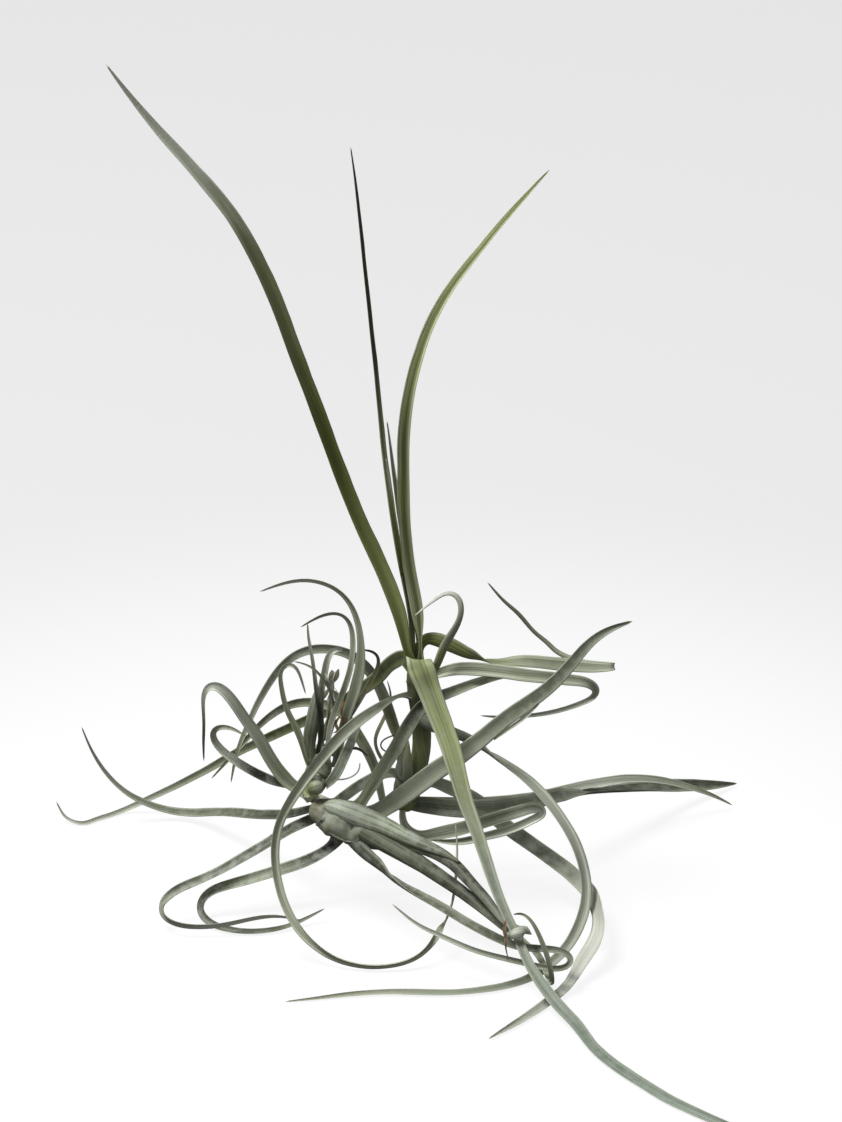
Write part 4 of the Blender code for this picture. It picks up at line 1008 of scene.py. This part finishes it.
blade("C_leaf_curl_right", [
    (-44.9, -2.4, 81, 3), (-39.5, -3, 98.5, 3.2), (-31, -3, 113, 3.2), (-26.5, -2, 122, 3),
    (-22, -2, 129.5, 2.6), (-20, -1, 135.5, 2.2), (-20.5, 0, 139.5, 1.8), (-24.5, 0, 141, 1.5),
    (-31, -1, 141, 0.6),
], {0: FRONT_LEFT}, [NEAR_BLACK_SHADE, NEAR_BLACK_SHADE, BARK_GREEN, DARK_GREEN_AND_SHADE], soft=6, bands=0.6)

blade("C_leaf_bent", [
    (-50.5, -4.5, 89.4, 3), (-51, -5, 105, 3.5), (-50.5, -5.5, 121, 3.5), (-48.5, -6, 131.5, 3.5),
    (-47, -6, 140, 3.2), (-43.5, -5, 144, 2.8), (-40, -3, 142.5, 2), (-38.5, -2, 141, 0.8),
], {0: FRONT}, [PALE_SAGE, PALE_SAGE, MIST, FROST], "leaf_pale", soft=4, channel=0.3, under=0.15)

blade("C_leaf_arc", [
    (-48.2, -6, 89.2, 1.6), (-44.5, -7.5, 101, 1.6), (-44, -9, 113.5, 1.5), (-49.5, -13.5, 131.5, 1.4),
    (-53, -15, 137, 1.3), (-58.5, -16, 141, 1), (-64, -17, 142.5, 0.6),
], {0: FRONT}, [SHADOW_GREEN, GREY_GREEN, LIGHT_SAGE, PALE_GREY], "leaf_dark", soft=4, bands=0.4)


# --- The dry sheaths ---
# Two old leaves of the small shoot, dried to papery husks that still stand on it, with torn scraps
# of brown husk caught between them.

blade("C_leaf_sheath", [
    (-56.5, -6, 80, 4), (-56.5, -8, 92, 6.5), (-54.5, -8, 106, 7), (-52.5, -7, 117, 5.5),
    (-51, -6, 125, 0.8),
], {0: (0, 0.9, 0.2)}, [SOFT_SAGE, SHADOW_GREEN, GREY_GREEN, LIGHT_SAGE], "dry_brown", bands=0.7,
    under=0.1, soft=2, silver=DULL_FELT)

blade("C_leaf_old", [
    (-48.5, -11.9, 69, 3.2), (-43.5, -14, 76, 5.6), (-38.5, -14.5, 87.5, 5.8), (-33.5, -13.5, 99, 4.6),
    (-29.5, -11, 109, 0.8),
], {0: FRONT_LEFT}, [GREY_GREEN, GREY_GREEN, DARK_GREEN_AND_SHADE, PALE_SAGE], "dry_brown", bands=0.7)

# The torn scraps of husk
HUSK = [(0.34, 0.2, 0.1), (0.42, 0.28, 0.16)]
for number, (x, z, aside, drop, width) in enumerate([
    (-40.5, 117, 1.6, 12, 2.6), (-38.5, 111, -0.8, 10, 2), (-41, 106, -2.4, 9, 1.8),
    (-36.8, 104, 1.4, 8, 1.6),
], start=1):
    blade("", [
        (x, -6.5, z, 0.8), (x + aside, -8, z - drop * 0.35, width),
        (x + aside * 0.4, -8.4, z - drop * 0.7, width * 0.8), (x + aside * 1.6, -7.4, z - drop, 0.4),
    ], {0: (-0.5, -0.9, 0.2), 2: (0.6, -0.8, 0)}, HUSK, "dry_brown", name=f"husk_scrap_{number}",
        soft=1, bands=0.8, felted=0, thick=0.08)


# --- The dried flower stalk ---
# A thin stalk, straw-coloured and bleached at its top, that ends in the withered remains of a
# flower: a few crumpled, papery petals and the threads of its stamens.

HAY = (0.42, 0.42, 0.25)

stalk("C_flower_stalk", [
    (-49.5, -1.6, 89.5, 0.9), (-47, -2, 105, 1), (-45.5, -3, 119, 1.1), (-44.6, -3.5, 126, 1.5),
    (-44.5, -3.5, 130, 0.8),
], [HAY, HAY, BLEACHED, BLEACHED], "dry_brown", lumps=0.15)

PETAL = [(0.34, 0.36, 0.25), (0.6, 0.6, 0.48)]
for number, (x, z, aside, rise, width) in enumerate([
    (-46, 122, -2.8, 8.5, 4.4), (-45, 123, 2.4, 9, 4), (-46, 121, -3.6, -6, 3.4),
    (-44.6, 120, 2.8, -7, 3.6), (-45.4, 125, 0.4, 6.5, 3.6),
], start=1):
    blade("", [
        (x, -3.8, z, 1), (x + aside * 0.5, -5.2, z + rise * 0.35, width),
        (x + aside, -5, z + rise * 0.8, width * 0.8), (x + aside * 1.5, -4, z + rise, 0.5),
    ], {0: (aside, -2, 0.6)}, PETAL, "dry_brown", name=f"withered_petal_{number}", soft=1, felted=0,
        thick=0.1, channel=0, edge=0, under=0)

# Hair-thin threads hang out of it
THREAD = [(0.4, 0.3, 0.22), (0.5, 0.36, 0.28)]
for number, (x, z, swing, drop) in enumerate([
    (-44, 122, 3.2, 9), (-43.5, 120, 4.6, 5), (-45, 121, -2.4, 10), (-42.6, 118, 2, 12), (-44.5, 118, -4, 6),
], start=1):
    stalk("", [
        (x, -4.5, z, 0.16), (x + swing * 0.7, -6.5, z - drop * 0.3, 0.16),
        (x + swing, -7, z - drop * 0.75, 0.15), (x + swing * 0.2, -6.4, z - drop, 0.13),
        (x - swing * 0.4, -6, z - drop * 0.7, 0.1),
    ], THREAD, "dry_brown", name=f"flower_thread_{number}", around=10, bands=0.3, felted=0)


# --- The roots ---
# Three dry, wiry roots, as thin as thread. They grow from the stem and the small shoot, and hold
# nothing, because the plant lies loose.

WIRE = (0.05, 0.04, 0.03)
BARK = (0.13, 0.115, 0.075)

stalk("C_root_arc", [
    (-46.6, -7.5, 71.3, 0.4), (-41, -7, 70.5, 0.4), (-34.6, -7, 72.5, 0.4), (-31.5, -7, 76, 0.4),
    (-31, -6, 80, 0.3),
], [BONE, BONE], "root")

stalk("C_root_wire", [
    (-46, -2, 76, 0.5), (-40, 2, 82, 0.9), (-33, 2, 84, 0.8), (-26.5, 0, 80, 0.3),
], [WIRE, WIRE], "root")

stalk("A_root_ring", [
    (-4.9, 7.6, 90, 0.4), (-15.7, 3, 90, 0.4), (-19.3, 1, 89, 0.4), (-20.8, 1, 86, 0.4),
    (-19.3, 1, 83.3, 0.4), (-16.5, 2, 81.5, 0.3),
], [BARK, BARK], "root")
